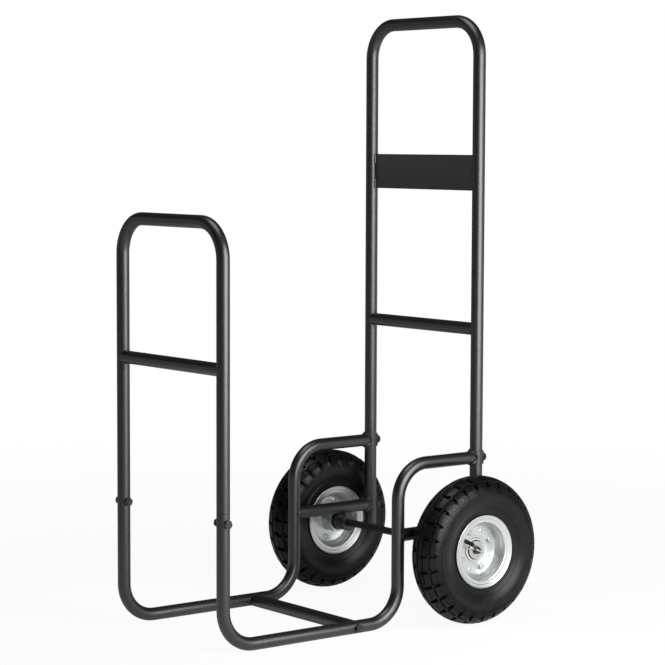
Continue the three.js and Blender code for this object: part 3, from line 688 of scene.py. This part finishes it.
axle_path = [(on_axle(x), Vector((1, 0, 0))) for x in
             (-AXLE_END_X, -AXLE_END_X + 1, -100, 100, AXLE_END_X - 1, AXLE_END_X)]
piece("axle_bar", outward(skin(rings_along(
    axle_path, [AXLE_R - 1, AXLE_R, AXLE_R, AXLE_R, AXLE_R, AXLE_R - 1], 48))),
    BLACKED_STEEL, nodes=["axle"])

for name, side in NAMES:
    bore_r = AXLE_R + RUNNING_FIT
    sleeve = turned([(0, bore_r), (SLEEVE_LENGTH, bore_r), (SLEEVE_LENGTH, SLEEVE_R),
                     (0, SLEEVE_R)], 1.0)
    sleeve = placed(sleeve, (side, 0, 0), on_axle(side * SLEEVE_IN_X))
    x0, x1 = side * (SLEEVE_IN_X + NECK_INSET), side * (SIDE_X + TUBE_R - NECK_INSET)
    corners = [(x0, -NECK_HALF), (x1, -NECK_HALF), (x1, NECK_HALF), (x0, NECK_HALF)]
    low, high = AXLE_Z + NECK_FOOT, BRACE_Z - 0.5 * TUBE_R
    neck_rings = [[at(a, AXLE_Y + b, z) for a, b in rounded(corners, 2.5)]
                  for z in (low, (low + high) / 2, high)]
    piece(f"axle_sleeve_{name}", together(sleeve, outward(skin(neck_rings))), POWDER_COAT,
          nodes=[f"axle_bracket_{name}"])
    seam = []
    for (xa, ya), (xb, yb) in zip(corners, corners[1:] + corners[:1]):
        for t in (i / 8 for i in range(8)):
            off = xa + (xb - xa) * t - side * SIDE_X
            under = BRACE_Z - math.sqrt(max(TUBE_R**2 - off * off, 3.0)) - 0.4
            seam.append(at(xa + (xb - xa) * t, AXLE_Y + ya + (yb - ya) * t, under))
    piece(f"sleeve_weld_{name}", weld_bead(evenly(seam, 0.5), 1.6, 11 + side), POWDER_COAT)

# ------------------------------------------------------------------ tyres
# Moulded black rubber, 256 mm over the tread and 69 mm wide. The tread has two rows of 28
# lugs, half a pitch apart, between slanted slots. A wavy groove parts them from the blocks
# on the shoulders, which carry moulded rectangles.

WHEEL_X = 204.5
PITCHES = 28


def tyre_rubber():
    """Carbon-black rubber as it leaves the mould: near black, with a soft sheen from the
    release agent, broken up by dust. The mould's grain is drawn coarser than it is."""
    m = blank_material("tyre_rubber")
    place = add_node(m, "ShaderNodeTexCoord").outputs["Object"]
    dust = add_node(m, "ShaderNodeTexNoise", Vector=place, Scale=spaced(18.2), Detail=6.0,
                    Roughness=0.62)
    grain = add_node(m, "ShaderNodeTexNoise", Vector=place, Scale=spaced(0.55), Detail=3.0)
    patches = add_node(m, "ShaderNodeMapRange", Value=dust.outputs["Fac"],
                       From_Min=0.35, From_Max=0.75)
    colour = add_node(m, "ShaderNodeMix", {"data_type": "RGBA"}, _0=patches.outputs["Result"],
                      _6=linear("#090909"), _7=linear("#131314"))
    rough = add_node(m, "ShaderNodeMapRange", Value=dust.outputs["Fac"],
                     To_Min=0.27, To_Max=0.38)
    bump = add_node(m, "ShaderNodeBump", Strength=0.3, Distance=0.2 * MM,
                    Height=grain.outputs["Fac"])
    return finish_material(m, add_node(
        m, "ShaderNodeBsdfPrincipled", Base_Color=colour.outputs["Result"],
        Roughness=rough.outputs["Result"], IOR=1.5, Specular_IOR_Level=0.24,
        Normal=bump.outputs["Normal"]))


TYRE_RUBBER = tyre_rubber()

TYRE_R = 128.0
PITCH = 2 * math.pi * TYRE_R / PITCHES  # from one lug to the next, round the tread
SLANT = 0.25  # of each cross slot, mm round for each mm across
SLOT_END = 20.0
LUG_MIDDLE = 11.0  # a fine sipe runs round each row here
SHOULDER_GROOVE = 23.5
BLOCK_MIDDLE, BLOCK_END = 38.75, 46.5
RING_LINES = (47.5, 72.0)  # fine lines round the side

# The outline of half a tyre, from the middle of the tread out and in to the bead heel.
TYRE_HALF = [
    (0, TYRE_R), (8, 127.1), (14, 125.2), (20, 122), (25, 118), (29.6, 112.4), (32.8, 105),
    (34.2, 97.5), (33.5, 90), (31.2, 83), (28.4, 77), (26.3, 71.5), (25.2, 67.4), (24.9, 64.6),
]
# The bead's heel and toe, then the hollow up to the crown.
TYRE_INSIDE = [
    (24.4, 63.4), (23.0, 61), (23.0, 53.6), (21.6, 52.3), (15.2, 52.3), (14.4, 54), (18.5, 62),
    (24.6, 78), (28.0, 93.5), (23.5, 106), (12, 113.6),
]


def smooth_curve(points, steps=16):
    """A curve that passes smoothly through points, the first of which lies on the mirror
    line, as closer points."""
    dense = []
    for i in range(len(points) - 1):
        p0 = Vector(points[i - 1]) if i else Vector((-points[1][0], points[1][1]))
        p1, p2 = Vector(points[i]), Vector(points[i + 1])
        p3 = Vector(points[i + 2]) if i + 2 < len(points) else p2 * 2 - p1
        for k in range(steps):
            t = k / steps
            dense.append(0.5 * ((2 * p1) + (p2 - p0) * t
                                + (2 * p0 - 5 * p1 + 4 * p2 - p3) * t * t
                                + (3 * p1 - p0 - 3 * p2 + p3) * t**3))
    return dense + [Vector(points[-1])]


def along_curve(curve, distances):
    """Places on a curve at distances from its start, each with the outward direction."""
    out, travelled, i = [], 0.0, 0
    for s in distances:
        while i < len(curve) - 2 and travelled + (curve[i + 1] - curve[i]).length < s:
            travelled += (curve[i + 1] - curve[i]).length
            i += 1
        step = curve[i + 1] - curve[i]
        tangent = step.normalized()
        out.append((curve[i] + tangent * min(s - travelled, step.length),
                    Vector((-tangent.y, tangent.x))))
    return out


def step_up(value, edge, ramp):
    """0 below an edge and 1 above it, over a short ramp."""
    return min(max((value - edge) / ramp + 0.5, 0.0), 1.0)


def groove(distance, half, ramp, depth):
    """The depth of a groove of some half width, at a distance from its middle."""
    return depth * (1 - step_up(abs(distance), half, ramp))


def tread_cut(s, local):
    """How deep the tread is cut, s mm out from its middle along the surface and 'local'
    mm round from the middle of this row's slot."""
    # The groove round the middle, a slot that flares to both ends, and the lug's sipe.
    cuts = [groove(s, 1.9, 0.7, 3.0)]
    flare = 1.6 * abs(s - LUG_MIDDLE) / 9
    cuts.append(groove(local, 2.1 + flare, 0.8, 6.2) * step_up(s, 4.2, 1.4)
                * (1 - step_up(s, SLOT_END, 1.6)))
    cuts.append(groove(s - LUG_MIDDLE, 0.55, 0.5, 2.0) * step_up(abs(local), 3.6, 0.8))
    # A thin groove runs round the shoulder and kinks out at each slot.
    kink = math.exp(-((local / 3.5) ** 2))
    bend = SHOULDER_GROOVE + 2.8 * kink
    cuts.append(groove(s - bend, 0.9 + 0.6 * kink, 0.6, 3.6))
    # From the kink a cut narrows to a line between the shoulder blocks.
    fade = min(max((s - 32) / 6, 0.0), 1.0)
    between_blocks = step_up(s, bend, 1.0) * (1 - step_up(s, BLOCK_END, 0.8))
    cuts.append(groove(local, 3.5 - 2.7 * fade, 0.6, 5.6 - 4.3 * fade) * between_blocks)
    # Two rectangles are drawn on each block, one inside the other.
    off = PITCH / 2 - abs(local)
    for wide, high in ((10.5, 5.75), (6.0, 2.75)):
        cuts.append(groove(max(off - wide, abs(s - BLOCK_MIDDLE) - high), 0.6, 0.3, 1.1))
    cuts += [groove(s - line, 0.4, 0.4, depth) for line, depth in zip(RING_LINES, (0.5, 0.6))]
    return max(cuts)


def tyre_surface():
    """Half outlines for both rows, cut by the tread, closed through the bead and hollow.
    Rows go out from the middle of the tread and marks round a pitch. They lie close
    together at the edges of the cuts, so that these come out sharp."""
    curve = smooth_curve(TYRE_HALF)
    length = sum((b - a).length for a, b in zip(curve, curve[1:]))
    rows = [0, 1.2, 1.6, 2.2, 3.5, 4.2, 4.9, 7, 9, 10.2, 10.7, 11.3, 11.8, 13, 15, 17]
    rows += [19.2, 20, 20.8] + [21.4 + 0.5 * k for k in range(15)]
    rows += [29.4, 30.6, 31.6, 32.25, 32.55, 33.45, 33.75, 34.5, 35.25, 35.55, 36.45, 36.75]
    rows += [37.7, 38.75, 39.8, 40.75, 41.05, 41.95, 42.25, 43, 43.75, 44.05, 44.95, 45.25]
    rows += [46.1, 46.9, 47.3, 47.7, 48.1, 51, 54, 57, 60, 63, 66, 69, 71.3, 71.7, 72.3, 72.7]
    rows += [75, 78, 81, length]
    marks = [0.5, 1.1, 1.9, 2.3, 2.7, 3.1, 3.4, 3.85, 4.3, 4.6, 5.4, 6.6, 7.6, 7.9, 8.8, 9.1]
    marks += [10.4, 12.4]
    marks = [-m for m in reversed(marks)] + [0.0] + marks + [PITCH / 2]
    turns = [m + PITCH * k for k in range(PITCHES) for m in marks]

    def ring(places):
        return [Vector((x, r * math.cos(t / TYRE_R), r * math.sin(t / TYRE_R)))
                for x, r, t in places]

    outer = []
    for sign, shift in ((1, 0.0), (-1, PITCH / 2)):
        half = []
        for (p, normal), s in zip(along_curve(curve, rows), rows):
            lean = -sign * SLANT * min(s, SLOT_END)
            places = []
            for t in turns:
                local = (t - shift + PITCH / 2) % PITCH - PITCH / 2
                q = p - normal * tread_cut(s, local)
                places.append((sign * q.x, q.y, t + lean))
            half.append(ring(places))
        outer.append(half)
    lean = SLANT * SLOT_END
    inside = [(-x, r) for x, r in TYRE_INSIDE] + [(x, r) for x, r in reversed(TYRE_INSIDE)]
    hollow = [ring([(x, r, t + lean * (1 - 2 * k / (len(inside) - 1))) for t in turns])
              for k, (x, r) in enumerate(inside)]
    return outward(skin(outer[0][::-1] + outer[1][1:] + hollow, loop=True))


def on_wheel(surface, side):
    """Places a wheel part made round +X, whose +X end faces out of the cart."""
    points, faces = surface
    hub_place = at(side * WHEEL_X, AXLE_Y, AXLE_Z)
    there = [hub_place + Vector((side * p.x, p.y, p.z)) * MM for p in points]
    return (there, faces) if side > 0 else flip((there, faces))


for name, side in NAMES:
    body = f"wheel_{name}"
    piece(f"tyre_{name}_carcass", on_wheel(tyre_surface(), side), TYRE_RUBBER, body=body,
          nodes=[f"tyre_{name}"], crease=38)

# ------------------------------------------------------------------ rims
# Two dished halves pressed from 1.6 mm steel and zinc plated bright. They are bolted
# back to back over the hub's flanges, with a rolled lip outside each bead.


def zinc_plate():
    """Bright passivated zinc over rolled steel: silver with a faint cool cast, blurred
    by the grain of the sheet, with cloudy spangles a few millimetres across."""
    m = blank_material("zinc_plate")
    place = add_node(m, "ShaderNodeTexCoord").outputs["Object"]
    cloud = add_node(m, "ShaderNodeTexNoise", Vector=place, Scale=spaced(8.33), Detail=5.0)
    grain = add_node(m, "ShaderNodeTexNoise", Vector=place, Scale=spaced(0.42), Detail=2.0)
    colour = add_node(m, "ShaderNodeMix", {"data_type": "RGBA"}, _0=cloud.outputs["Fac"],
                      _6=linear("#c6cbc9"), _7=linear("#d4d8d6"))
    rough = add_node(m, "ShaderNodeMapRange", Value=cloud.outputs["Fac"],
                     To_Min=0.33, To_Max=0.38)
    bump = add_node(m, "ShaderNodeBump", Strength=0.06, Distance=0.1 * MM,
                    Height=grain.outputs["Fac"])
    return finish_material(m, add_node(
        m, "ShaderNodeBsdfPrincipled", Base_Color=colour.outputs["Result"], Metallic=1.0,
        Roughness=rough.outputs["Result"], Normal=bump.outputs["Normal"]))


ZINC_PLATE = zinc_plate()
RIM_BOLT_CIRCLE = 34.5
FIRST_RIM_BOLT = {"right": 24, "left": 76}  # degrees round the wheel
DIMPLE_R = 2.9
DIMPLE_HEIGHT = 0.9

# The pressed section of one half, from its bore out to the lip and back behind.
RIM_SECTION = [
    (1.75, 20.9), (1.75, 24.4), (2.5, 25.4), (2.5, 41.2), (1.75, 42.4), (2.6, 43.9),
    (10, 45.3), (16.6, 46.9), (18.4, 48.3), (23.6, 49.5), (24.8, 51.0), (24.9, 56.2),
    (25.9, 57.2), (26.1, 60.8), (27.3, 62.4), (26.5, 63.2), (24.6, 61.4), (23.8, 57.4),
    (23.8, 52.2), (22.4, 50.9), (17.0, 48.9), (0.15, 44.8), (0.15, 20.9),
]


def dimple(angle):
    """A small round dimple, pressed outward in the disc between two bolts."""
    a = math.radians(angle)
    spot = Vector((0, RIM_BOLT_CIRCLE * math.cos(a), RIM_BOLT_CIRCLE * math.sin(a)))
    profile = [(2.3, DIMPLE_R), (2.6, DIMPLE_R), (2.6 + 0.6 * DIMPLE_HEIGHT, 0.8 * DIMPLE_R),
               (2.6 + DIMPLE_HEIGHT, 0.35 * DIMPLE_R)]
    points, faces = outward(skin([round_ring(x, r, 24) for x, r in profile]))
    return [p + spot for p in points], faces


for name, side in NAMES:
    body = f"wheel_{name}"
    dimples = [dimple(FIRST_RIM_BOLT[name] + 45 + 90 * i) for i in range(4)]
    points, faces = together(turned(RIM_SECTION, 1.1, 128, 4), *dimples)
    mirrored = flip(([Vector((-p.x, p.y, p.z)) for p in points], faces))
    for label, half in (("outer", (points, faces)), ("inner", mirrored)):
        piece(f"rim_{label}_pressing_{name}", on_wheel(half, side), ZINC_PLATE, body=body,
              nodes=[f"rim_{label}_{name}"], crease=30)

# ------------------------------------------------------------------ inner tubes
# Butyl rubber tubes that fill the tyres. Only the valve shows: a moulded stem with a
# ribbed cap, which comes through the outer rim's wall and leans in to the hub.

VALVE_R = 3.75
VALVE_ANGLE = {"right": 149, "left": -60}  # degrees round the wheel
VALVE_LEAN = 24
VALVE_WALL = (12.45, 46.5)  # where the stem comes through the rim's wall
VALVE_ROOT, VALVE_TIP = -6, 25
CAP_RIBS = 16
TUBE_HALF = [(11.6, 112.0), (22.4, 104.6), (26.8, 93), (23.4, 77.8), (10.5, 50)]


def valve_point(reach, angle):
    """A place on the valve's line, reach mm in from the rim's wall."""
    lean, turn = math.radians(VALVE_LEAN), math.radians(angle)
    r = VALVE_WALL[1] - reach * math.cos(lean)
    return Vector((VALVE_WALL[0] + reach * math.sin(lean), r * math.cos(turn), r * math.sin(turn)))


for name, side in NAMES:
    body = f"wheel_{name}"
    angle = VALVE_ANGLE[name]
    tube_section = rounded([(-x, r) for x, r in TUBE_HALF] + TUBE_HALF[::-1], 6, 5)
    shell = outward(skin([round_ring(x, r, 56) for x, r in tube_section], loop=True))
    root, tip = valve_point(VALVE_ROOT, angle), valve_point(VALVE_TIP, angle)
    direction = (tip - root).normalized()
    # The rubber stem, a neck, and the cap with its ribs.
    profile = [(0, VALVE_R), (9, VALVE_R), (9.6, 3.2), (12.4, 3.2), (13, VALVE_R - 0.1)]
    profile += [(13 + 0.9 * k + d, VALVE_R - 0.1 - (0.25 if d else 0))
                for k in range(1, CAP_RIBS + 1) for d in (0, 0.3)]
    profile += [(30.2, VALVE_R - 0.4), (31, 2.2)]
    across = direction.orthogonal().normalized()
    up = direction.cross(across)
    rings = [[root + direction * t + (across * math.cos(a) + up * math.sin(a)) * r
              for a in (2 * math.pi * i / 24 for i in range(24))] for t, r in profile]
    stem = outward(skin(rings))
    piece(f"inner_tube_{name}_with_valve", on_wheel(together(shell, stem), side), TYRE_RUBBER,
          body=body, nodes=[f"inner_tube_{name}"], crease=35)

# ------------------------------------------------------------------ hubs and rim bolts
# The hub is a turned steel barrel with a ball bearing in each end and a flange welded
# round it. Four M6 bolts clamp the rim halves to the flange, into welded nuts.

HUB_R = 20.5
HUB_IN = -22.0
HUB_SKIRT = 10.6  # the barrel covers the spacer, up to the sleeve on the axle
HUB_OUT = 3.35
FLANGE_X = -2.05
FLANGE_R = 41.0
FLANGE_T = 3.0
FLANGE_WELD = 1.5
BEARING_R = 16.5
BEARING_W = 9.0
RACE_BEVEL = 2.6  # the outer race falls back at its edge; with the steel's painted shade this makes a dark line round the washer
SHIELD_DEPTH = 0.8
RIM_BOLT_R = 3.0
RIM_BOLT_LENGTH = 13.4
RIM_BOLT_ACROSS = 10.0
RIM_BOLT_HEAD = 4.0
RIM_BOLT_SEAT = 2.6
RIM_NUT_HEIGHT = 5.0


def bearing_steel_painted_dark():
    """Hardened ring steel, drawn far darker than ground steel as painted shade for the shadowed
    recess round the washer, in patchy tones.
    """
    m = blank_material("bearing_steel_painted_dark")
    place = add_node(m, "ShaderNodeTexCoord").outputs["Object"]
    wear = add_node(m, "ShaderNodeTexNoise", Vector=place, Scale=spaced(2.0), Detail=4.0)
    # Both dark tones are painted shade of the hub's recess, not the steel's own colour.
    colour = add_node(m, "ShaderNodeMix", {"data_type": "RGBA"}, _0=wear.outputs["Fac"],
                      _6=linear("#2e2f31"), _7=linear("#48494c"))
    rough = add_node(m, "ShaderNodeMapRange", Value=wear.outputs["Fac"], To_Min=0.25, To_Max=0.4)
    return finish_material(m, add_node(
        m, "ShaderNodeBsdfPrincipled", Base_Color=colour.outputs["Result"], Metallic=1.0,
        Roughness=rough.outputs["Result"]))


BEARING_STEEL_PAINTED_DARK = bearing_steel_painted_dark()


def yellow_zinc():
    """Zinc with a thin yellow chromate: pale cream, rougher where the chromate is thick."""
    m = blank_material("yellow_zinc")
    place = add_node(m, "ShaderNodeTexCoord").outputs["Object"]
    film = add_node(m, "ShaderNodeTexNoise", Vector=place, Scale=spaced(3.33), Detail=4.0)
    colour = add_node(m, "ShaderNodeMix", {"data_type": "RGBA"}, _0=film.outputs["Fac"],
                      _6=linear("#acaba4"), _7=linear("#bcbbb5"))
    rough = add_node(m, "ShaderNodeMapRange", Value=film.outputs["Fac"], To_Min=0.32, To_Max=0.5)
    return finish_material(m, add_node(
        m, "ShaderNodeBsdfPrincipled", Base_Color=colour.outputs["Result"], Metallic=0.9,
        Roughness=rough.outputs["Result"]))


YELLOW_ZINC = yellow_zinc()


def rim_bolt_places(name):
    for i in range(4):
        a = math.radians(FIRST_RIM_BOLT[name] + 90 * i)
        yield i + 1, Vector((0, RIM_BOLT_CIRCLE * math.cos(a), RIM_BOLT_CIRCLE * math.sin(a)))


def moved(surface, by):
    points, faces = surface
    return [p + by for p in points], faces


for name, side in NAMES:
    body = f"wheel_{name}"
    skirt, flange_back = HUB_IN - HUB_SKIRT, FLANGE_X - FLANGE_T
    barrel = turned([
        (skirt, BEARING_R + 0.15), (HUB_OUT, BEARING_R + 0.15), (HUB_OUT, HUB_R),
        (FLANGE_X, HUB_R), (FLANGE_X, FLANGE_R), (flange_back, FLANGE_R),
        (flange_back, HUB_R + FLANGE_WELD), (flange_back - FLANGE_WELD, HUB_R),
        (skirt, HUB_R)], 0.7, 96)
    nut = hex_nut(RIM_BOLT_R + 0.1, RIM_BOLT_ACROSS, RIM_NUT_HEIGHT)
    nuts = [moved(nut, spot + Vector((flange_back, 0, 0))) for _, spot in rim_bolt_places(name)]
    piece(f"hub_barrel_{name}", on_wheel(together(barrel, *nuts), side), ZINC_PLATE, body=body,
          nodes=[f"hub_{name}"], crease=30)
    for label, x0 in (("inner", HUB_IN), ("outer", HUB_OUT - BEARING_W)):
        x1 = x0 + BEARING_W
        # Inner race, shield and bevelled outer race, on both faces.
        ring = turned([
            (x0, AXLE_R + 0.1), (x1, AXLE_R + 0.1), (x1, 9.2), (x1 - SHIELD_DEPTH, 9.8),
            (x1 - SHIELD_DEPTH, 13.6), (x1 - RACE_BEVEL, 14.6), (x1 - RACE_BEVEL, BEARING_R),
            (x0 + RACE_BEVEL, BEARING_R), (x0 + RACE_BEVEL, 14.6), (x0 + SHIELD_DEPTH, 13.6),
            (x0 + SHIELD_DEPTH, 9.8), (x0, 9.2)], 0.3, 72)
        piece(f"{label}_ball_bearing_{name}", on_wheel(ring, side), BEARING_STEEL_PAINTED_DARK, body=body,
              nodes=[f"bearing_{label}_{name}"], crease=30)
    bolt = hex_bolt(RIM_BOLT_R, RIM_BOLT_LENGTH, RIM_BOLT_ACROSS, RIM_BOLT_HEAD)
    for number, spot in rim_bolt_places(name):
        piece(f"rim_clamp_bolt_{number}_{name}",
              on_wheel(moved(bolt, spot + Vector((RIM_BOLT_SEAT, 0, 0))), side), YELLOW_ZINC,
              body=body, nodes=[f"rim_bolt_{number}_{name}"], crease=24)

# ------------------------------------------------------------------ spacers and pins
# A short black sleeve keeps each wheel off its bracket. Outside it a zinc washer and a
# cotter pin, pushed through the axle and tilted, keep the wheel on.

SPACER_X = 171.3
SPACER_LENGTH = 10.9
SPACER_R = 10.0
WASHER_X = 208.15
WASHER_T = 2.0
WASHER_R = 15.4
PIN_X = 212.05
PIN_TILT = 22  # degrees down from the level, towards the back
PIN_HALF = 18.0  # from the axle's middle to the eye, and to the straight leg's tip
PIN_EYE_R = 3.5
WIRE_R = 1.0
FOLD_R = 2.2
LEG_OUT = 9.35  # the bend of the other leg, below the axle
LEG_X = 217.35  # and where it lies, over the axle's end
LEG_BACK = 7.0


def wire(points):
    """A round wire through points, with its ends rounded off."""
    stations = []
    for i, p in enumerate(points):
        ahead, behind = points[min(i + 1, len(points) - 1)], points[max(i - 1, 0)]
        stations.append((p, (ahead - behind).normalized()))
    first, last = stations[0], stations[-1]
    cap = 0.7 * WIRE_R * MM
    stations = [(first[0] - first[1] * cap, first[1]), *stations,
                (last[0] + last[1] * cap, last[1])]
    radii = [0.5 * WIRE_R] + [WIRE_R] * len(points) + [0.5 * WIRE_R]
    return outward(skin(rings_along(stations, radii, 16)))


def on_pin(side, t, up=0.0, x=PIN_X):
    """A place t mm down the pin from the axle's middle, 'up' mm beside it."""
    tilt = math.radians(PIN_TILT)
    along = Vector((0, math.cos(tilt), -math.sin(tilt)))
    lift = Vector((0, math.sin(tilt), math.cos(tilt)))
    return on_axle(side * x) + (along * t + lift * up) * MM


def split_pin(side):
    """The straight leg with the eye, and the leg that is bent over the axle's end."""
    eye = [on_pin(side, -PIN_HALF - PIN_EYE_R + PIN_EYE_R * math.cos(a), PIN_EYE_R * math.sin(a))
           for a in (math.radians(30 + 300 * i / 24) for i in range(25))]
    straight = [on_pin(side, t, 0.55) for t in (PIN_HALF, 9, 0, -9, -PIN_HALF + 2)]
    folded = [on_pin(side, t, -0.55) for t in (-PIN_HALF + 2, -9, 0, 6, LEG_OUT - 0.5)]
    folded += [on_pin(side, LEG_OUT + FOLD_R * math.sin(a), -0.55,
                      PIN_X + FOLD_R * (1 - math.cos(a)))
               for a in (math.radians(15 * i) for i in range(1, 6))]
    folded += [on_pin(side, LEG_OUT + FOLD_R * math.sin(a), -0.4,
                      LEG_X - FOLD_R * (1 + math.cos(a)))
               for a in (math.radians(90 + 15 * i) for i in range(1, 6))]
    folded += [on_pin(side, t, -0.3, LEG_X) for t in (LEG_OUT - 1, 3, -2, -LEG_BACK + 0.7)]
    return together(wire(straight + eye), wire(folded))


for name, side in NAMES:
    spacer = turned([(0, AXLE_R + RUNNING_FIT), (SPACER_LENGTH, AXLE_R + RUNNING_FIT),
                     (SPACER_LENGTH, SPACER_R), (0, SPACER_R)], 0.5)
    piece(f"wheel_spacer_{name}", placed(spacer, (side, 0, 0), on_axle(side * SPACER_X)),
          POWDER_COAT, nodes=[f"axle_spacer_{name}"])
    washer = turned([(0, AXLE_R + 0.4), (WASHER_T, AXLE_R + 0.4), (WASHER_T, WASHER_R),
                     (0, WASHER_R)], 0.35)
    piece(f"wheel_washer_{name}", placed(washer, (side, 0, 0), on_axle(side * WASHER_X)),
          YELLOW_ZINC, nodes=[f"axle_washer_{name}"])
    piece(f"split_pin_{name}", split_pin(side), ZINC_PLATE, nodes=[f"cotter_pin_{name}"],
          crease=50)

# ------------------------------------------------------------------ floor and studio
# A plain floor of matt card under a studio sky, pale behind the cart and dim in front.
# A broad soft lamp stands on the right and another hangs overhead.


FLOOR_HALF = 60.0  # metres, so that its edge is out of sight
BACKDROP = (0.788, 0.616, 0.0)  # the way to the backdrop, on the floor


def pale_card():
    """Matt white card, seen as plain white but for a trace of the cart's soft shadow. In
    metal it shows bright on the backdrop's side and dim on the other."""
    m = blank_material("pale_card")
    place = add_node(m, "ShaderNodeTexCoord").outputs["Object"]
    away = add_node(m, "ShaderNodeVectorMath", {"operation": "LENGTH"}, _0=place)
    seen = add_node(m, "ShaderNodeMapRange", Value=away.outputs["Value"],
                    From_Min=0.6, From_Max=2.5, To_Min=0.93, To_Max=1.0)
    behind = add_node(m, "ShaderNodeVectorMath", {"operation": "DOT_PRODUCT"},
                      _0=place, _1=BACKDROP)
    mirrored = add_node(m, "ShaderNodeMapRange", Value=behind.outputs["Value"],
                        From_Min=0.4, From_Max=1.2, To_Min=0.15, To_Max=0.6)
    paths = add_node(m, "ShaderNodeLightPath")
    bounced = add_node(m, "ShaderNodeMath", {"operation": "ADD", "use_clamp": True},
                       _0=paths.outputs["Is Glossy Ray"], _1=paths.outputs["Is Transmission Ray"])
    in_metal = add_node(m, "ShaderNodeMath", {"operation": "MULTIPLY"},
                        _0=bounced.outputs["Value"], _1=mirrored.outputs["Result"])
    share = add_node(m, "ShaderNodeMath", {"operation": "MULTIPLY_ADD", "use_clamp": True},
                     _0=paths.outputs["Is Camera Ray"], _1=seen.outputs["Result"],
                     _2=in_metal.outputs["Value"])
    fibre = add_node(m, "ShaderNodeTexNoise", Scale=spaced(1.1))
    colour = add_node(m, "ShaderNodeMix", {"data_type": "RGBA"}, _0=fibre.outputs["Fac"],
                      _6=linear("#f2f2f2"), _7=linear("#f6f6f6"))
    matt = add_node(m, "ShaderNodeBsdfDiffuse", Color=colour.outputs["Result"])
    white = add_node(m, "ShaderNodeEmission", Color=linear("#ffffff"), Strength=1.0)
    both = add_node(m, "ShaderNodeMixShader", _0=share.outputs["Value"],
                    _1=matt.outputs["BSDF"], _2=white.outputs["Emission"])
    output = m.node_tree.nodes.new("ShaderNodeOutputMaterial")
    m.node_tree.links.new(both.outputs["Shader"], output.inputs["Surface"])
    return m


corners = [(sx * FLOOR_HALF, sy * FLOOR_HALF, 0)
           for sx, sy in ((-1, -1), (1, -1), (1, 1), (-1, 1))]
floor_mesh = bpy.data.meshes.new("floor")
floor_mesh.from_pydata(corners, [], [(0, 1, 2, 3)])
floor_mesh.materials.append(pale_card())
floor = bpy.data.objects.new("floor", floor_mesh)
bpy.context.scene.collection.objects.link(floor)


def soft_lamp(name, place, target, width, height, radiance):
    """A flat lamp of even brightness. A radiance of 1 looks as bright as white card."""
    data = bpy.data.lights.new(name, "AREA")
    data.shape = "RECTANGLE"
    data.size, data.size_y = width, height
    data.energy = radiance * math.pi * width * height
    lamp = bpy.data.objects.new(name, data)
    lamp.location = place
    lamp.rotation_euler = (Vector(target) - Vector(place)).to_track_quat("-Z", "Y").to_euler()
    bpy.context.scene.collection.objects.link(lamp)
    lamp.visible_camera = False


# Places and sizes of the lamps are in metres.
soft_lamp("right_softbox", place=(1.5, 0.15, 0.78), target=(0.1, 0.0, 0.6),
          width=1.35, height=1.15, radiance=7.5)
soft_lamp("overhead_softbox", place=(0.1, -0.35, 2.6), target=(0.0, 0.05, 0.0),
          width=1.5, height=1.2, radiance=3.2)


def sky_patch(towards, edge, full):
    """1 in one direction of the sky, fading to 0: the cosines at which it ends and is full."""
    dot = add_node(world, "ShaderNodeVectorMath", {"operation": "DOT_PRODUCT"},
                   _0=direction, _1=Vector(towards).normalized())
    return add_node(world, "ShaderNodeMapRange", {"interpolation_type": "SMOOTHSTEP"},
                    Value=dot.outputs["Value"], From_Min=edge, From_Max=full)


world = bpy.data.worlds.new("studio")
bpy.context.scene.world = world
world.use_nodes = True
world.node_tree.nodes.clear()
direction = add_node(world, "ShaderNodeTexCoord").outputs["Generated"]
# The backdrop stands low behind the cart.
backdrop = sky_patch((0.6, 0.8, 0.0), 0.45, 0.9)
heights = add_node(world, "ShaderNodeSeparateXYZ", Vector=direction)
above = add_node(world, "ShaderNodeMath", {"operation": "ABSOLUTE"}, _0=heights.outputs["Z"])
low = add_node(world, "ShaderNodeMapRange", {"interpolation_type": "SMOOTHSTEP"},
               Value=above.outputs["Value"], From_Min=0.15, From_Max=0.42,
               To_Min=1.0, To_Max=0.0)
low_backdrop = add_node(world, "ShaderNodeMath", {"operation": "MULTIPLY"},
                        _0=backdrop.outputs["Result"], _1=low.outputs["Result"])
room = add_node(world, "ShaderNodeMapRange", Value=low_backdrop.outputs["Value"],
                To_Min=0.06, To_Max=0.5)
# A dim card in front on the left is what the handle plate shows.
front_card = sky_patch((-0.785, -0.613, 0.0), 0.92, 0.99)
dim_card = add_node(world, "ShaderNodeMath", {"operation": "MULTIPLY"},
                    _0=front_card.outputs["Result"], _1=0.5)
in_metal = add_node(world, "ShaderNodeMath", {"operation": "MAXIMUM"},
                    _0=room.outputs["Result"], _1=dim_card.outputs["Value"])
paths = add_node(world, "ShaderNodeLightPath")
level = add_node(world, "ShaderNodeMath", {"operation": "MAXIMUM"},
                 _0=paths.outputs["Is Camera Ray"], _1=in_metal.outputs["Value"])
sky = add_node(world, "ShaderNodeBackground", Color=linear("#ffffff"),
               Strength=level.outputs["Value"])
world_out = world.node_tree.nodes.new("ShaderNodeOutputWorld")
world.node_tree.links.new(sky.outputs["Background"], world_out.inputs["Surface"])

# The camera stands where the photograph was taken from, on a long lens.
CAMERA_PLACE = (3.0981, -2.3866, 0.8262)
CAMERA_LOOK = (-0.78523, 0.61349, -0.08387)
CAMERA_ROLL = 0.21  # degrees
camera_data = bpy.data.cameras.new("camera")
camera_data.sensor_width = 36.0
camera_data.lens = 123.2
camera = bpy.data.objects.new("camera", camera_data)
bpy.context.scene.collection.objects.link(camera)
camera.location = CAMERA_PLACE
aim = Vector(CAMERA_LOOK).normalized().to_track_quat("-Z", "Y").to_matrix()
camera.rotation_euler = (aim @ Matrix.Rotation(math.radians(CAMERA_ROLL), 3, "Z")).to_euler()
bpy.context.scene.camera = camera
bpy.context.scene.view_settings.view_transform = "Standard"
